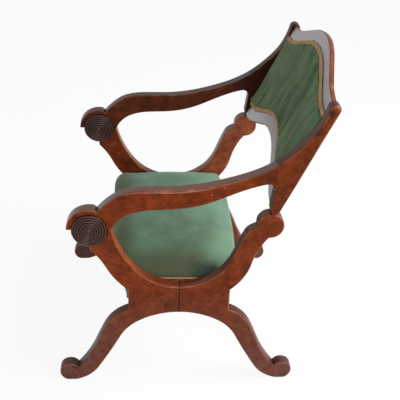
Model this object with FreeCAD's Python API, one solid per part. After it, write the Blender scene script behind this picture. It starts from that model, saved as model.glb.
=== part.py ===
import FreeCAD, Part
import math
import os

from FreeCAD import Vector

# Prie-dieu chair that turns into a prayer desk. Millimetres, +Z up, the front towards -Y, the sitter's left
# towards +X. The origin is on the floor, midway between the front of the feet and the rear of the back panel.
# Outlines are drawn in the Y-Z plane from the middle seam of the side frames.

# Side frames
SIDE_SPAN = 600.0          # over the outer faces of both side frames
SIDE_THICK = 32.0
SEAM_Z = 250.0             # joint between the supports and the legs
BLOCK_HALF = 125.0         # half the length of the block at that joint

# U of the supports
U_WEB = 40.5               # wood between that joint and the bottom of the U
U_RADIUS = 145.0           # inner edge, up from the middle seam
FRONT_U_SWEEP = 50.0       # degrees of that radius in the front half
REAR_U_SWEEP = 66.0        # degrees of that radius in the rear half
U_DEPTH = 54.0             # from the inner edge to the outer edge
FRONT_LIP_SWEEP = 63.0     # degrees where the outer edge of the front support turns out to its stop

# Rear knob, on which the stile foot rests
KNOB_Y = 211.0
KNOB_Z = 464.0
KNOB_RADIUS = 32.0
KNOB_FRONT_NOTCH = 172.0   # degrees on the knob where the inner edge meets it
KNOB_UNDER_NOTCH = 268.0   # degrees on the knob where the outer edge meets it
REAR_STRAIGHT = 33.0       # straight stretch of the inner edge below the knob
REST_GAP = 0.3             # between the stile foot and the knob

# Legs
ARCH_WEB = 36.5            # wood between the arch and the joint above it
SHOULDER_DROP = 29.0       # from that joint down to where the leg leaves the block
SHOULDER_SLOPE = -20.0     # degrees at which its upper edge leaves the block
FOOT_Y = 273.0             # centre of the scroll foot
FOOT_RADIUS = 26.0
FOOT_FLAT = 1.0            # depth worn flat under the scroll
FOOT_HEEL = 15.0           # from the centre of the scroll to where the lower edge leaves the floor
FOOT_NOTCH = 145.0         # degrees on the scroll where the upper edge of the leg meets it

# Roundels
ROUNDEL_RADIUS = 42.0
ROUNDEL_RIM = 5.0          # height of the turned rings at the rim
ROUNDEL_RISE = 3.0         # rise of the rings towards the middle
ROUNDEL_RINGS = 6
RING_DEPTH = 2.2           # depth of the grooves between the rings
BUTTON_RADIUS = 5.0
BUTTON_RISE = 3.0

# Pivot of the arms
PIVOT_Y = -216.0
PIVOT_Z = 452.5
CHEEK_EDGE = 0.4           # round cheeks of the arm, past the roundel
HOOD_EDGE = 12.0           # hood of the arm and stop of the support, past the roundel
HOOD_END = 76.0            # degrees at which the hood ends in the notch
SHOULDER_EDGE = 9.0        # inner edge at the shoulder, past the roundel
TONGUE_INSET = 2.4         # tongue of the support, inside the cheeks
TONGUE_THICK = 12.4
TONGUE_ROOT = 3.0          # how deep the sides of the tongue run into the support
TONGUE_MARGIN = 10.0       # degrees from the shoulder and the stop to the tongue
TONGUE_GAP = 0.35          # between the tongue and the slot of the arm, on each side
SEAT_GAP = 0.5             # between the cheeks and the hollow of the support
SHOULDER_GAP = 0.3         # at the shoulder at rest, and at the stop at the end of the swing
PIN_RADIUS = 5.0
PIN_CLEARANCE = 0.05
PIN_INSET = 1.0            # pin ends below the faces of the arm

# Arms
NOTCH_BEHIND = 18.0        # bottom of the notch behind the hood, from the pivot
NOTCH_RISE = 47.5
ARM_END_AHEAD = 5.0        # joint between arm and stile, ahead of the stile foot
ARM_END_RISE = 52.8        # from the stile foot up to the lower edge of the arm
ARM_END_HEIGHT = 64.0
ARM_CORNER_RADIUS = 16.5   # rounded corner below that joint

# Stiles
STILE_FOOT_BEHIND = 7.0    # centre of the foot behind the centre of the knob
STILE_FOOT_RADIUS = 11.5
STILE_FOOT_FRONT = 172.0   # degrees on the foot where the front edge meets it
STILE_RAKE = 113.5         # from the foot back to the top
STILE_RISE = 253.8         # from the foot up to the top
STILE_TOP_RADIUS = 13.5

# Back panel, measured along the lean of the stiles
PANEL_THICK = 14.0
PANEL_INSET = 5.0          # behind the panel, in from the rear edge of the stiles
PANEL_HEIGHT = 293.0
PANEL_TOP_DROP = 5.0       # top corners of the panel below the top of the stiles
PANEL_TONGUE = 8.0         # length of the panel in the grooves of the stiles
CREST_RISE = 70.0          # rise of the top and bottom edges from the stiles to the middle
BRAID_MARGIN = 40.0        # from the edge of the panel to the middle of the braid
BRAID_WIDTH = 12.0
BRAID_THICK = 2.5
CLOTH_THICK = 2.0
FOLD_COUNT = 13
FOLD_RISE = 5.0            # how far the folds stand off the cloth
CLOTH_GAP = 0.3            # round the edges of cloth and braid

# Seat frame
RAIL_THICK = 22.0
RAIL_RISE = 38.0           # top of the rails above the joint of supports and legs
SIDE_RAIL_HEIGHT = 36.0
FRONT_RAIL_HEIGHT = 56.0
RAIL_SETBACK = 1.0         # front and rear rails inside the ends of the block
REAR_RAIL_BOW = 32.0       # how far the rear face bows out in the middle
RAIL_TENON_LENGTH = 18.0
RAIL_TENON_THICK = 12.0
RAIL_TENON_INSET = 8.0     # from the joint below and from the top of the rail
CORNER_BLOCK = 45.0        # length of the corner blocks along the rails
CORNER_BLOCK_INSET = 4.0   # from the top and bottom of the side rails
WEB_WIDTH = 50.0
WEB_THICK = 1.5
WEB_LONG_COUNT = 5
WEB_CROSS_COUNT = 3
BASE_CLOTH_THICK = 1.0
BASE_CLOTH_INSET = 3.0

# Seat pad
PAD_SIDE_GAP = 2.0         # from the pad to the side frames
PAD_FRONT_ROLL = 44.0      # how far the front edge rolls out over the front rail
PAD_FRONT_DRAW = 10.0      # how much the front draws in at the sides
PAD_REAR_INSET = 5.0       # behind the pad, in from the rear rail
PAD_CROWN = 54.0           # height in the middle
PAD_EDGE = 12.0            # height at the side frames
PAD_ROLL = 26.0            # height of the fullest point of the rolled edges
PAD_ROLL_EDGE = 9.0        # height of that point at the side frames
PAD_STATIONS = (-1, -0.95, -0.7, 0, 0.7, 0.95, 1)   # cross-sections, as shares of half the width
PAD_BULGE = 0.62           # share of the rise from there to the crown that the rolled edges take
SKIRT_THICK = 3.5          # velvet drawn down over the front rail
SKIRT_TUCK = 26.0          # below the pad, where the velvet turns in under the roll
SKIRT_TUCK_SHARE = 0.62    # share of the way in to the rail that it has gone there
SEAT_BRAID_HEIGHT = 10.0
SEAT_BRAID_THICK = 1.6
SEAT_BRAID_HALF = 105.0    # half its length

# Loose tenons in the side frames
TENON_THICK = 10.0
TENON_HALF = 20.0          # length in each of the two pieces
TENON_END_INSET = 30.0     # from the end of the block and from the middle seam
ARM_TENON_HALF = 11.0      # half the height of the tenon between arm and stile

SIDES = {"left": 1, "right": -1}
SIDE_MIDDLE = (SIDE_SPAN - SIDE_THICK) / 2
INNER_FACE = SIDE_SPAN / 2 - SIDE_THICK
U_BOTTOM_Z = SEAM_Z + U_WEB
U_CENTRE_Z = U_BOTTOM_Z + U_RADIUS
U_OUTER = U_RADIUS + U_DEPTH
ARCH_Z = SEAM_Z - ARCH_WEB
PIVOT = Vector(0, PIVOT_Y, PIVOT_Z)
CHEEK_RADIUS = ROUNDEL_RADIUS + CHEEK_EDGE
HOOD_RADIUS = ROUNDEL_RADIUS + HOOD_EDGE
SHOULDER_REACH = ROUNDEL_RADIUS + SHOULDER_EDGE
TONGUE_RADIUS = CHEEK_RADIUS - TONGUE_INSET
RAIL_TOP_Z = SEAM_Z + RAIL_RISE
SIDE_RAIL_LOW_Z = RAIL_TOP_Z - SIDE_RAIL_HEIGHT
FRONT_RAIL_LOW_Z = RAIL_TOP_Z - FRONT_RAIL_HEIGHT
RAIL_Y = BLOCK_HALF - RAIL_SETBACK


def at(y, z):
    return Vector(0, y, z)


def toward(degrees):
    """Direction in the Y-Z plane, counted from +Y towards +Z."""
    turn = math.radians(degrees)
    return Vector(0, math.cos(turn), math.sin(turn))


def heading(start, end):
    return math.degrees(math.atan2(end.z - start.z, end.y - start.y))


def line(start, end):
    return Part.LineSegment(start, end).toShape()


def round_about(centre, radius, first, last):
    """Arc about a centre, from one angle to another."""
    middle = (first + last) / 2
    points = [centre + toward(angle) * radius for angle in (first, middle, last)]
    return Part.Arc(*points).toShape()


def leaving(start, degrees, end):
    """Arc that leaves start in the given direction and ends at end; also its direction there."""
    chord = heading(start, end)
    bend = chord - degrees
    bulge = start.distanceToPoint(end) / 2 * math.tan(math.radians(bend / 2))
    middle = (start + end) / 2 + toward(chord - 90) * bulge
    return Part.Arc(start, middle, end).toShape(), degrees + 2 * bend


def flowing(start, degrees, points):
    """Arcs through points, each leaving in the direction in which the last one ended."""
    arcs = []
    for point in points:
        arc, degrees = leaving(start, degrees, point)
        arcs.append(arc)
        start = point
    return arcs


def between(start, end, shares):
    """Points at shares of the way across and up from start to end."""
    span = end - start
    return [at(start.y + across * span.y, start.z + up * span.z) for across, up in shares]


def smooth(points):
    """Fair curve through points."""
    curve = Part.BSplineCurve()
    curve.interpolate(points)
    return curve.toShape()


def board(edges, middle, thick):
    """Flat piece of the given outline, standing on both sides of the plane x = middle."""
    face = Part.Face(Part.Wire(Part.sortEdges(edges)[0]))
    face.translate(Vector(middle - thick / 2, 0, 0))
    return face.extrude(Vector(thick, 0, 0))


def disc(radius, middle, thick):
    """Round plate about the pivot."""
    return board([Part.makeCircle(radius, PIVOT, Vector(1, 0, 0))], middle, thick)


def rod(radius, start, end):
    axis = end - start
    return Part.makeCylinder(radius, axis.Length, start, axis)


def block(low, high):
    size = high - low
    return Part.makeBox(size.x, size.y, size.z, low)


def mortised(piece, tenons):
    return piece.cut(Part.makeCompound(list(tenons)))


# Places shared by pieces that fit each other


def stile_foot():
    """Centre of the round stile foot, which rests on the knob."""
    reach = KNOB_RADIUS + STILE_FOOT_RADIUS + REST_GAP
    return at(KNOB_Y + STILE_FOOT_BEHIND, KNOB_Z + math.sqrt(reach ** 2 - STILE_FOOT_BEHIND ** 2))


STILE_FOOT = stile_foot()
STILE_TOP = STILE_FOOT + at(STILE_RAKE, STILE_RISE)
ARM_END_LOW = STILE_FOOT + at(-ARM_END_AHEAD, ARM_END_RISE)
ARM_END_TOP = ARM_END_LOW + at(0, ARM_END_HEIGHT)
# Direction of the rear edge, which touches both round ends of the stile
LEAN = heading(STILE_FOOT, STILE_TOP) - math.degrees(
    math.asin((STILE_TOP_RADIUS - STILE_FOOT_RADIUS) / STILE_FOOT.distanceToPoint(STILE_TOP)))
REAR_OF_STILE = STILE_TOP + toward(LEAN - 90) * STILE_TOP_RADIUS
PANEL_REAR = REAR_OF_STILE + toward(LEAN + 90) * PANEL_INSET
PANEL_CORNER = PANEL_REAR + toward(LEAN) * (STILE_TOP_RADIUS - PANEL_TOP_DROP)


def frame_tenons(side):
    """Loose tenons across the seams of one side frame."""
    inner = side * SIDE_MIDDLE - TENON_THICK / 2
    outer = inner + TENON_THICK
    far = BLOCK_HALF - TENON_END_INSET
    for start, end in ((-far, -TENON_END_INSET), (TENON_END_INSET, far)):
        yield block(Vector(inner, start, SEAM_Z - TENON_HALF), Vector(outer, end, SEAM_Z + TENON_HALF))
    for low, high in ((ARCH_Z, SEAM_Z), (SEAM_Z, U_BOTTOM_Z)):
        quarter = (high - low) / 4
        yield block(Vector(inner, -TENON_HALF, low + quarter), Vector(outer, TENON_HALF, high - quarter))


def arm_tenon(side):
    inner = side * SIDE_MIDDLE - TENON_THICK / 2
    middle = (ARM_END_LOW + ARM_END_TOP) / 2
    low = Vector(inner, middle.y - TENON_HALF, middle.z - ARM_TENON_HALF)
    return block(low, Vector(inner + TENON_THICK, middle.y + TENON_HALF, middle.z + ARM_TENON_HALF))


def rail_tenon(side, half):
    """End of the front (half -1) or rear (half 1) seat rail that stands in a support."""
    inside, outside = sorted((side * INNER_FACE, side * (INNER_FACE + RAIL_TENON_LENGTH)))
    middle = half * (RAIL_Y - RAIL_THICK / 2)
    low = Vector(inside, middle - RAIL_TENON_THICK / 2, SEAM_Z + RAIL_TENON_INSET)
    return block(low, Vector(outside, middle + RAIL_TENON_THICK / 2, RAIL_TOP_Z - RAIL_TENON_INSET))


def panel_tongue(side):
    """Edge of the back panel that stands in the groove of a stile."""
    inside, outside = sorted((side * INNER_FACE, side * (INNER_FACE + PANEL_TONGUE)))
    return on_panel(block(Vector(inside, -PANEL_THICK, -PANEL_HEIGHT), Vector(outside, 0, 0)), 0)


# Side frames


def support_foot(half):
    """Block end and middle seam of a support; half is -1 for the front and 1 for the rear."""
    outer = at(half * BLOCK_HALF, U_CENTRE_Z - math.sqrt(U_OUTER ** 2 - BLOCK_HALF ** 2))
    corner = at(half * BLOCK_HALF, SEAM_Z)
    edges = [line(outer, corner), line(corner, at(0, SEAM_Z)), line(at(0, SEAM_Z), at(0, U_BOTTOM_Z))]
    return edges, outer


def front_support(side):
    """Front half of the U, with a tongue for the pivot and a stop at the end of the arm's swing."""
    edges, outer = support_foot(-1)
    centre = at(0, U_CENTRE_Z)
    shoulder = at(PIVOT_Y + SHOULDER_REACH, PIVOT_Z - SHOULDER_GAP)
    bend = centre + toward(270 - FRONT_U_SWEEP) * U_RADIUS
    edges.append(round_about(centre, U_RADIUS, 270, 270 - FRONT_U_SWEEP))
    edges.append(leaving(bend, 180 - FRONT_U_SWEEP, shoulder)[0])
    hollow = CHEEK_RADIUS + SEAT_GAP
    slip = math.degrees(math.asin(SHOULDER_GAP / hollow))
    shoulder_end = PIVOT + toward(-slip) * hollow
    stop_start = PIVOT + toward(-90 + slip) * hollow
    stop_tip = at(stop_start.y, PIVOT_Z - HOOD_RADIUS)
    edges.append(line(shoulder, shoulder_end))
    edges.append(round_about(PIVOT, hollow, -slip, -90 + slip))
    edges.append(line(stop_start, stop_tip))
    lip = centre + toward(270 - FRONT_LIP_SWEEP) * U_OUTER
    edges.append(leaving(lip, 180 - FRONT_LIP_SWEEP, stop_tip)[0])
    edges.append(round_about(centre, U_OUTER, 270 - FRONT_LIP_SWEEP, heading(centre, outer) % 360))
    middle = side * SIDE_MIDDLE
    piece = board(edges, middle, SIDE_THICK)
    upper_root = PIVOT + toward(-TONGUE_MARGIN) * (hollow + TONGUE_ROOT)
    lower_root = PIVOT + toward(TONGUE_MARGIN - 90) * (hollow + TONGUE_ROOT)
    corners = [PIVOT, upper_root, PIVOT + toward(-45) * HOOD_RADIUS, lower_root, PIVOT]
    tongue = board([line(start, end) for start, end in zip(corners, corners[1:])], middle, TONGUE_THICK)
    tongue = tongue.fuse(disc(TONGUE_RADIUS, middle, TONGUE_THICK))
    bore = rod(PIN_RADIUS + PIN_CLEARANCE, *pin_ends(side))
    piece = piece.fuse(tongue).cut(bore).removeSplitter()
    return mortised(piece, [rail_tenon(side, -1), *frame_tenons(side)])


def rear_support(side):
    """Rear half of the U, ending in the round knob that carries the stile foot."""
    edges, outer = support_foot(1)
    centre = at(0, U_CENTRE_Z)
    knob = at(KNOB_Y, KNOB_Z)
    bend = centre + toward(REAR_U_SWEEP - 90) * U_RADIUS
    straight = bend + toward(REAR_U_SWEEP) * REAR_STRAIGHT
    front_notch = knob + toward(KNOB_FRONT_NOTCH) * KNOB_RADIUS
    under_notch = knob + toward(KNOB_UNDER_NOTCH) * KNOB_RADIUS
    edges.append(round_about(centre, U_RADIUS, -90, REAR_U_SWEEP - 90))
    edges.append(line(bend, straight))
    edges.append(leaving(straight, REAR_U_SWEEP, front_notch)[0])
    edges.append(round_about(knob, KNOB_RADIUS, KNOB_FRONT_NOTCH, KNOB_UNDER_NOTCH - 360))
    waist, neck = between(outer, under_notch, ((0.57, 0.51), (0.92, 0.95)))
    edges += flowing(outer, heading(centre, outer) + 90, [waist, neck, under_notch])
    piece = board(edges, side * SIDE_MIDDLE, SIDE_THICK)
    return mortised(piece, [rail_tenon(side, 1), *frame_tenons(side)])


def leg(side, half):
    """Half of the arched foot of a side frame, with a scroll at the floor."""
    foot = at(FOOT_Y, FOOT_RADIUS - FOOT_FLAT)
    shoulder = at(BLOCK_HALF, SEAM_Z - SHOULDER_DROP)
    notch = foot + toward(FOOT_NOTCH) * FOOT_RADIUS
    floor_spread = math.sqrt(FOOT_RADIUS ** 2 - foot.z ** 2)
    heel = at(FOOT_Y - FOOT_HEEL, 0)
    toe = at(FOOT_Y + floor_spread, 0)
    crown = at(0, ARCH_Z)
    upper = between(shoulder, notch, ((0.455, 0.285), (0.625, 0.555)))
    lower = between(crown, heel, ((0.383, 0.124), (0.56, 0.35), (0.776, 0.813)))
    toe_angle = heading(foot, toe)
    edges = [
        line(crown, at(0, SEAM_Z)),
        line(at(0, SEAM_Z), at(BLOCK_HALF, SEAM_Z)),
        line(at(BLOCK_HALF, SEAM_Z), shoulder),
        *flowing(shoulder, SHOULDER_SLOPE, upper + [notch]),
        round_about(foot, FOOT_RADIUS, FOOT_NOTCH, toe_angle),
        line(toe, heel),
        *flowing(crown, 0, lower + [heel]),
    ]
    piece = board(edges, side * SIDE_MIDDLE, SIDE_THICK)
    if half < 0:
        piece = piece.mirror(Vector(), Vector(0, 1, 0))
    return mortised(piece, frame_tenons(side))


# Arms, stiles and pivots


def pin_ends(side):
    inset = SIDE_THICK / 2 - PIN_INSET
    middle = side * SIDE_MIDDLE
    return Vector(middle - inset, PIVOT_Y, PIVOT_Z), Vector(middle + inset, PIVOT_Y, PIVOT_Z)


def arm(side):
    """Arm with a hooded, slotted round end that turns on the tongue of the support."""
    shoulder = at(PIVOT_Y + SHOULDER_REACH, PIVOT_Z)
    corner = ARM_END_LOW + at(-ARM_CORNER_RADIUS, 0)
    corner_start = corner + at(0, ARM_CORNER_RADIUS)
    notch = PIVOT + at(NOTCH_BEHIND, NOTCH_RISE)
    hood = PIVOT + toward(HOOD_END) * HOOD_RADIUS
    lower = between(shoulder, corner_start, (
        (0.028, 0.142), (0.091, 0.3), (0.188, 0.397), (0.373, 0.433), (0.57, 0.52), (0.758, 0.745)))
    upper = between(notch, ARM_END_TOP, (
        (0.049, 0.17), (0.134, 0.363), (0.263, 0.448), (0.433, 0.46),
        (0.603, 0.524), (0.774, 0.665), (0.895, 0.81)))
    edges = [
        smooth([shoulder] + lower + [corner_start]),
        round_about(corner, ARM_CORNER_RADIUS, 90, 0),
        line(ARM_END_LOW, ARM_END_TOP),
        smooth([notch] + upper + [ARM_END_TOP]),
        line(notch, hood),
        round_about(PIVOT, HOOD_RADIUS, HOOD_END, 180),
        line(at(PIVOT_Y - HOOD_RADIUS, PIVOT_Z), at(PIVOT_Y - CHEEK_RADIUS, PIVOT_Z)),
        round_about(PIVOT, CHEEK_RADIUS, 180, 360),
        line(at(PIVOT_Y + CHEEK_RADIUS, PIVOT_Z), shoulder),
    ]
    middle = side * SIDE_MIDDLE
    piece = board(edges, middle, SIDE_THICK)
    slot_thick = TONGUE_THICK + 2 * TONGUE_GAP
    slot = disc(TONGUE_RADIUS + TONGUE_GAP, middle, slot_thick)
    low = Vector(middle - slot_thick / 2, PIVOT_Y - HOOD_RADIUS, PIVOT_Z - HOOD_RADIUS)
    high = Vector(middle + slot_thick / 2, PIVOT_Y + HOOD_RADIUS, PIVOT_Z)
    piece = piece.cut(slot.fuse(block(low, high)).removeSplitter())
    return mortised(piece, [arm_tenon(side), rod(PIN_RADIUS, *pin_ends(side))])


def stile(side):
    """Raked stile with a round foot on the knob and a round top."""
    foot_front = STILE_FOOT + toward(STILE_FOOT_FRONT) * STILE_FOOT_RADIUS
    foot_rear = STILE_FOOT + toward(LEAN - 90) * STILE_FOOT_RADIUS
    top_front = STILE_TOP + toward(LEAN + 90) * STILE_TOP_RADIUS
    sweep = between(ARM_END_TOP, top_front, ((0.236, 0.135), (0.526, 0.343), (0.762, 0.561), (0.915, 0.79)))
    edges = [
        line(ARM_END_LOW, ARM_END_TOP),
        smooth([ARM_END_TOP] + sweep + [top_front]),
        round_about(STILE_TOP, STILE_TOP_RADIUS, LEAN + 90, LEAN - 90),
        line(REAR_OF_STILE, foot_rear),
        round_about(STILE_FOOT, STILE_FOOT_RADIUS, LEAN - 90, STILE_FOOT_FRONT - 360),
        line(foot_front, ARM_END_LOW),
    ]
    piece = board(edges, side * SIDE_MIDDLE, SIDE_THICK)
    return mortised(piece, [arm_tenon(side), panel_tongue(side)])


def roundels(face):
    """Pair of turned bosses, on the outer (face 1) or inner (face -1) sides of the arms."""
    return Part.makeCompound([roundel(side, face) for side in SIDES.values()])


def roundel(side, face):
    """Turned boss of raised rings."""
    pitch = (ROUNDEL_RADIUS - BUTTON_RADIUS) / ROUNDEL_RINGS
    outline = [Vector(0, 0, 0), Vector(ROUNDEL_RADIUS, 0, 0)]
    for ring in range(ROUNDEL_RINGS):
        outer = ROUNDEL_RADIUS - ring * pitch
        crest = ROUNDEL_RIM + ROUNDEL_RISE * (ring + 0.5) / ROUNDEL_RINGS
        outline.append(Vector(outer, 0, crest - RING_DEPTH))
        outline.append(Vector(outer - pitch / 2, 0, crest))
    groove = ROUNDEL_RIM + ROUNDEL_RISE - RING_DEPTH
    rim = Vector(BUTTON_RADIUS, 0, groove)
    top = Vector(0, 0, groove + BUTTON_RISE)
    outline.append(rim)
    edges = [line(start, end) for start, end in zip(outline, outline[1:])]
    ball = (BUTTON_RADIUS ** 2 + BUTTON_RISE ** 2) / (2 * BUTTON_RISE)
    half_way = math.asin(BUTTON_RADIUS / ball) / 2
    dome = Vector(ball * math.sin(half_way), 0, top.z - ball * (1 - math.cos(half_way)))
    edges.append(Part.Arc(rim, dome, top).toShape())
    edges.append(line(top, outline[0]))
    boss = Part.Face(Part.Wire(edges)).revolve(Vector(), Vector(0, 0, 1), 360)
    out = side * face
    boss.rotate(Vector(), Vector(0, 1, 0), 90 * out)
    boss.translate(Vector(side * SIDE_MIDDLE + out * SIDE_THICK / 2, PIVOT_Y, PIVOT_Z))
    return boss


# Back


def serpentine(low, high):
    """Outline across the panel between two serpentine edges, heights measured down from its top corners."""
    # Steepest slope of a full wave of this rise; arcs at its crest and ends, straight lines between them
    slope = math.atan(math.pi / 2 * CREST_RISE / INNER_FACE)
    bend = (INNER_FACE * math.tan(slope) - CREST_RISE) / 2 / (math.tan(slope) - math.tan(slope / 2))
    drop = bend * math.tan(slope / 2)
    middle = bend / math.sin(slope) * (1 - math.cos(slope / 2))
    away = bend / math.sin(slope) * math.sin(slope / 2)
    edges = []
    for base in (-low, -high):
        top = base + CREST_RISE
        crest = Part.Arc(Vector(-bend, 0, top - drop), Vector(0, 0, top), Vector(bend, 0, top - drop))
        edges.append(crest.toShape())
        for side in (-1, 1):
            inner = Vector(side * bend, 0, top - drop)
            outer = Vector(side * (INNER_FACE - bend), 0, base + drop)
            through = Vector(side * (INNER_FACE - away), 0, base + middle)
            edges.append(line(inner, outer))
            edges.append(Part.Arc(outer, through, Vector(side * INNER_FACE, 0, base)).toShape())
    for side in (-1, 1):
        edges.append(line(Vector(side * INNER_FACE, 0, -low), Vector(side * INNER_FACE, 0, -high)))
    return Part.Face(Part.Wire(Part.sortEdges(edges)[0]))


def on_panel(piece, stand_off):
    """Moves a piece drawn upright, rear face at y = 0, on to the leaning rear plane of the panel."""
    piece.rotate(Vector(), Vector(1, 0, 0), LEAN - 90)
    place = PANEL_CORNER + toward(LEAN + 90) * stand_off
    piece.translate(place)
    return piece


def between_stiles(piece):
    """Cuts the ends of a piece drawn upright just clear of the stiles."""
    half = INNER_FACE - CLOTH_GAP
    reach = PANEL_HEIGHT + CREST_RISE
    return piece.common(block(Vector(-half, -reach, -reach), Vector(half, reach, reach)))


def back_panel():
    panel = on_panel(serpentine(PANEL_HEIGHT, 0).extrude(Vector(0, -PANEL_THICK, 0)), 0)
    return panel.fuse([panel_tongue(1), panel_tongue(-1)]).removeSplitter()


def braid(middle):
    """Flat braid along one of the serpentine edges of the cloth."""
    face = serpentine(middle + BRAID_WIDTH / 2, middle - BRAID_WIDTH / 2)
    return on_panel(between_stiles(face.extrude(Vector(0, -BRAID_THICK, 0))), PANEL_THICK)


def back_cloth():
    """Cloth gathered in upright folds between the braids."""
    half = INNER_FACE - CLOTH_GAP
    pitch = 2 * half / FOLD_COUNT
    edges = []
    for fold in range(FOLD_COUNT):
        left = fold * pitch - half
        valley = Vector(left, -CLOTH_THICK, 0)
        crown = Vector(left + pitch / 2, -CLOTH_THICK - FOLD_RISE, 0)
        following = Vector(left + pitch, -CLOTH_THICK, 0)
        edges.append(Part.Arc(valley, crown, following).toShape())
    corners = [Vector(half, -CLOTH_THICK, 0), Vector(half, 0, 0)]
    corners += [Vector(-half, 0, 0), Vector(-half, -CLOTH_THICK, 0)]
    edges += [line(start, end) for start, end in zip(corners, corners[1:])]
    folds = Part.Face(Part.Wire(Part.sortEdges(edges)[0]))
    folds.translate(Vector(0, 0, -PANEL_HEIGHT))
    folds = folds.extrude(Vector(0, 0, PANEL_HEIGHT + CREST_RISE))
    edge = BRAID_MARGIN + BRAID_WIDTH / 2 + CLOTH_GAP
    field = serpentine(PANEL_HEIGHT - edge, edge).extrude(Vector(0, -2 * (CLOTH_THICK + FOLD_RISE), 0))
    return on_panel(folds.common(field), PANEL_THICK)


# Seat


def rear_bow(x, middle_y):
    """Bowed line of the rear of the seat."""
    return middle_y - REAR_RAIL_BOW * (x / INNER_FACE) ** 2


def bowed_plate(front_y, rear_middle_y, half, low_z, high_z):
    """Flat piece with a straight front and a bowed rear."""
    rear_end = rear_bow(half, rear_middle_y)
    corners = [Vector(half, rear_end, low_z), Vector(half, front_y, low_z)]
    corners += [Vector(-half, front_y, low_z), Vector(-half, rear_end, low_z)]
    edges = [line(start, end) for start, end in zip(corners, corners[1:])]
    edges.append(Part.Arc(corners[3], Vector(0, rear_middle_y, low_z), corners[0]).toShape())
    return Part.Face(Part.Wire(edges)).extrude(Vector(0, 0, high_z - low_z))


REAR_RAIL_MIDDLE = RAIL_Y + REAR_RAIL_BOW
WEB_TOP_Z = RAIL_TOP_Z + 2 * WEB_THICK
PAD_LOW_Z = WEB_TOP_Z + BASE_CLOTH_THICK


def front_seat_rail():
    low = Vector(-INNER_FACE, -RAIL_Y, FRONT_RAIL_LOW_Z)
    rail = block(low, Vector(INNER_FACE, RAIL_THICK - RAIL_Y, RAIL_TOP_Z))
    return rail.fuse([rail_tenon(1, -1), rail_tenon(-1, -1)])


def rear_seat_rail():
    rail = bowed_plate(RAIL_Y - RAIL_THICK, REAR_RAIL_MIDDLE, INNER_FACE, SIDE_RAIL_LOW_Z, RAIL_TOP_Z)
    return rail.fuse([rail_tenon(1, 1), rail_tenon(-1, 1)])


def side_seat_rail(side):
    inside, outside = sorted((side * (INNER_FACE - RAIL_THICK), side * INNER_FACE))
    joint = RAIL_Y - RAIL_THICK
    return block(Vector(inside, -joint, SIDE_RAIL_LOW_Z), Vector(outside, joint, RAIL_TOP_Z))


def corner_blocks():
    """Triangular blocks glued into the inner corners of the seat frame."""
    blocks = []
    low = SIDE_RAIL_LOW_Z + CORNER_BLOCK_INSET
    rise = Vector(0, 0, SIDE_RAIL_HEIGHT - 2 * CORNER_BLOCK_INSET)
    for side in SIDES.values():
        for half in (-1, 1):
            corner = Vector(side * (INNER_FACE - RAIL_THICK), half * (RAIL_Y - RAIL_THICK), low)
            along_front = corner + Vector(-side * CORNER_BLOCK, 0, 0)
            along_side = corner + Vector(0, -half * CORNER_BLOCK, 0)
            outline = Part.makePolygon([corner, along_front, along_side, corner])
            blocks.append(Part.Face(outline).extrude(rise))
    return Part.makeCompound(blocks)


def webbing_long():
    """Straps from the front rail to the rear rail."""
    straps = []
    spacing = 2 * INNER_FACE / (WEB_LONG_COUNT + 1)
    for strap in range(WEB_LONG_COUNT):
        middle = (strap + 1) * spacing - INNER_FACE
        low = Vector(middle - WEB_WIDTH / 2, BASE_CLOTH_INSET - RAIL_Y, RAIL_TOP_Z)
        straps.append(block(low, Vector(middle + WEB_WIDTH / 2, RAIL_Y, RAIL_TOP_Z + WEB_THICK)))
    return Part.makeCompound(straps)


def webbing_cross():
    """Straps from side rail to side rail, over the long ones."""
    straps = []
    half = INNER_FACE - BASE_CLOTH_INSET
    spacing = 2 * RAIL_Y / (WEB_CROSS_COUNT + 1)
    for strap in range(WEB_CROSS_COUNT):
        middle = (strap + 1) * spacing - RAIL_Y
        low = Vector(-half, middle - WEB_WIDTH / 2, RAIL_TOP_Z + WEB_THICK)
        straps.append(block(low, Vector(half, middle + WEB_WIDTH / 2, WEB_TOP_Z)))
    return Part.makeCompound(straps)


def seat_base_cloth():
    half = INNER_FACE - BASE_CLOTH_INSET
    rear = REAR_RAIL_MIDDLE - PAD_REAR_INSET - BASE_CLOTH_INSET
    return bowed_plate(BASE_CLOTH_INSET - RAIL_Y, rear, half, WEB_TOP_Z, PAD_LOW_Z)


def quarter(start, end, lift):
    """Quarter round from start to end; lift is the share of the height gained at its middle."""
    middle = Vector(start.x, start.y + (1 - lift) * (end.y - start.y), start.z + lift * (end.z - start.z))
    return Part.Arc(start, middle, end)


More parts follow.
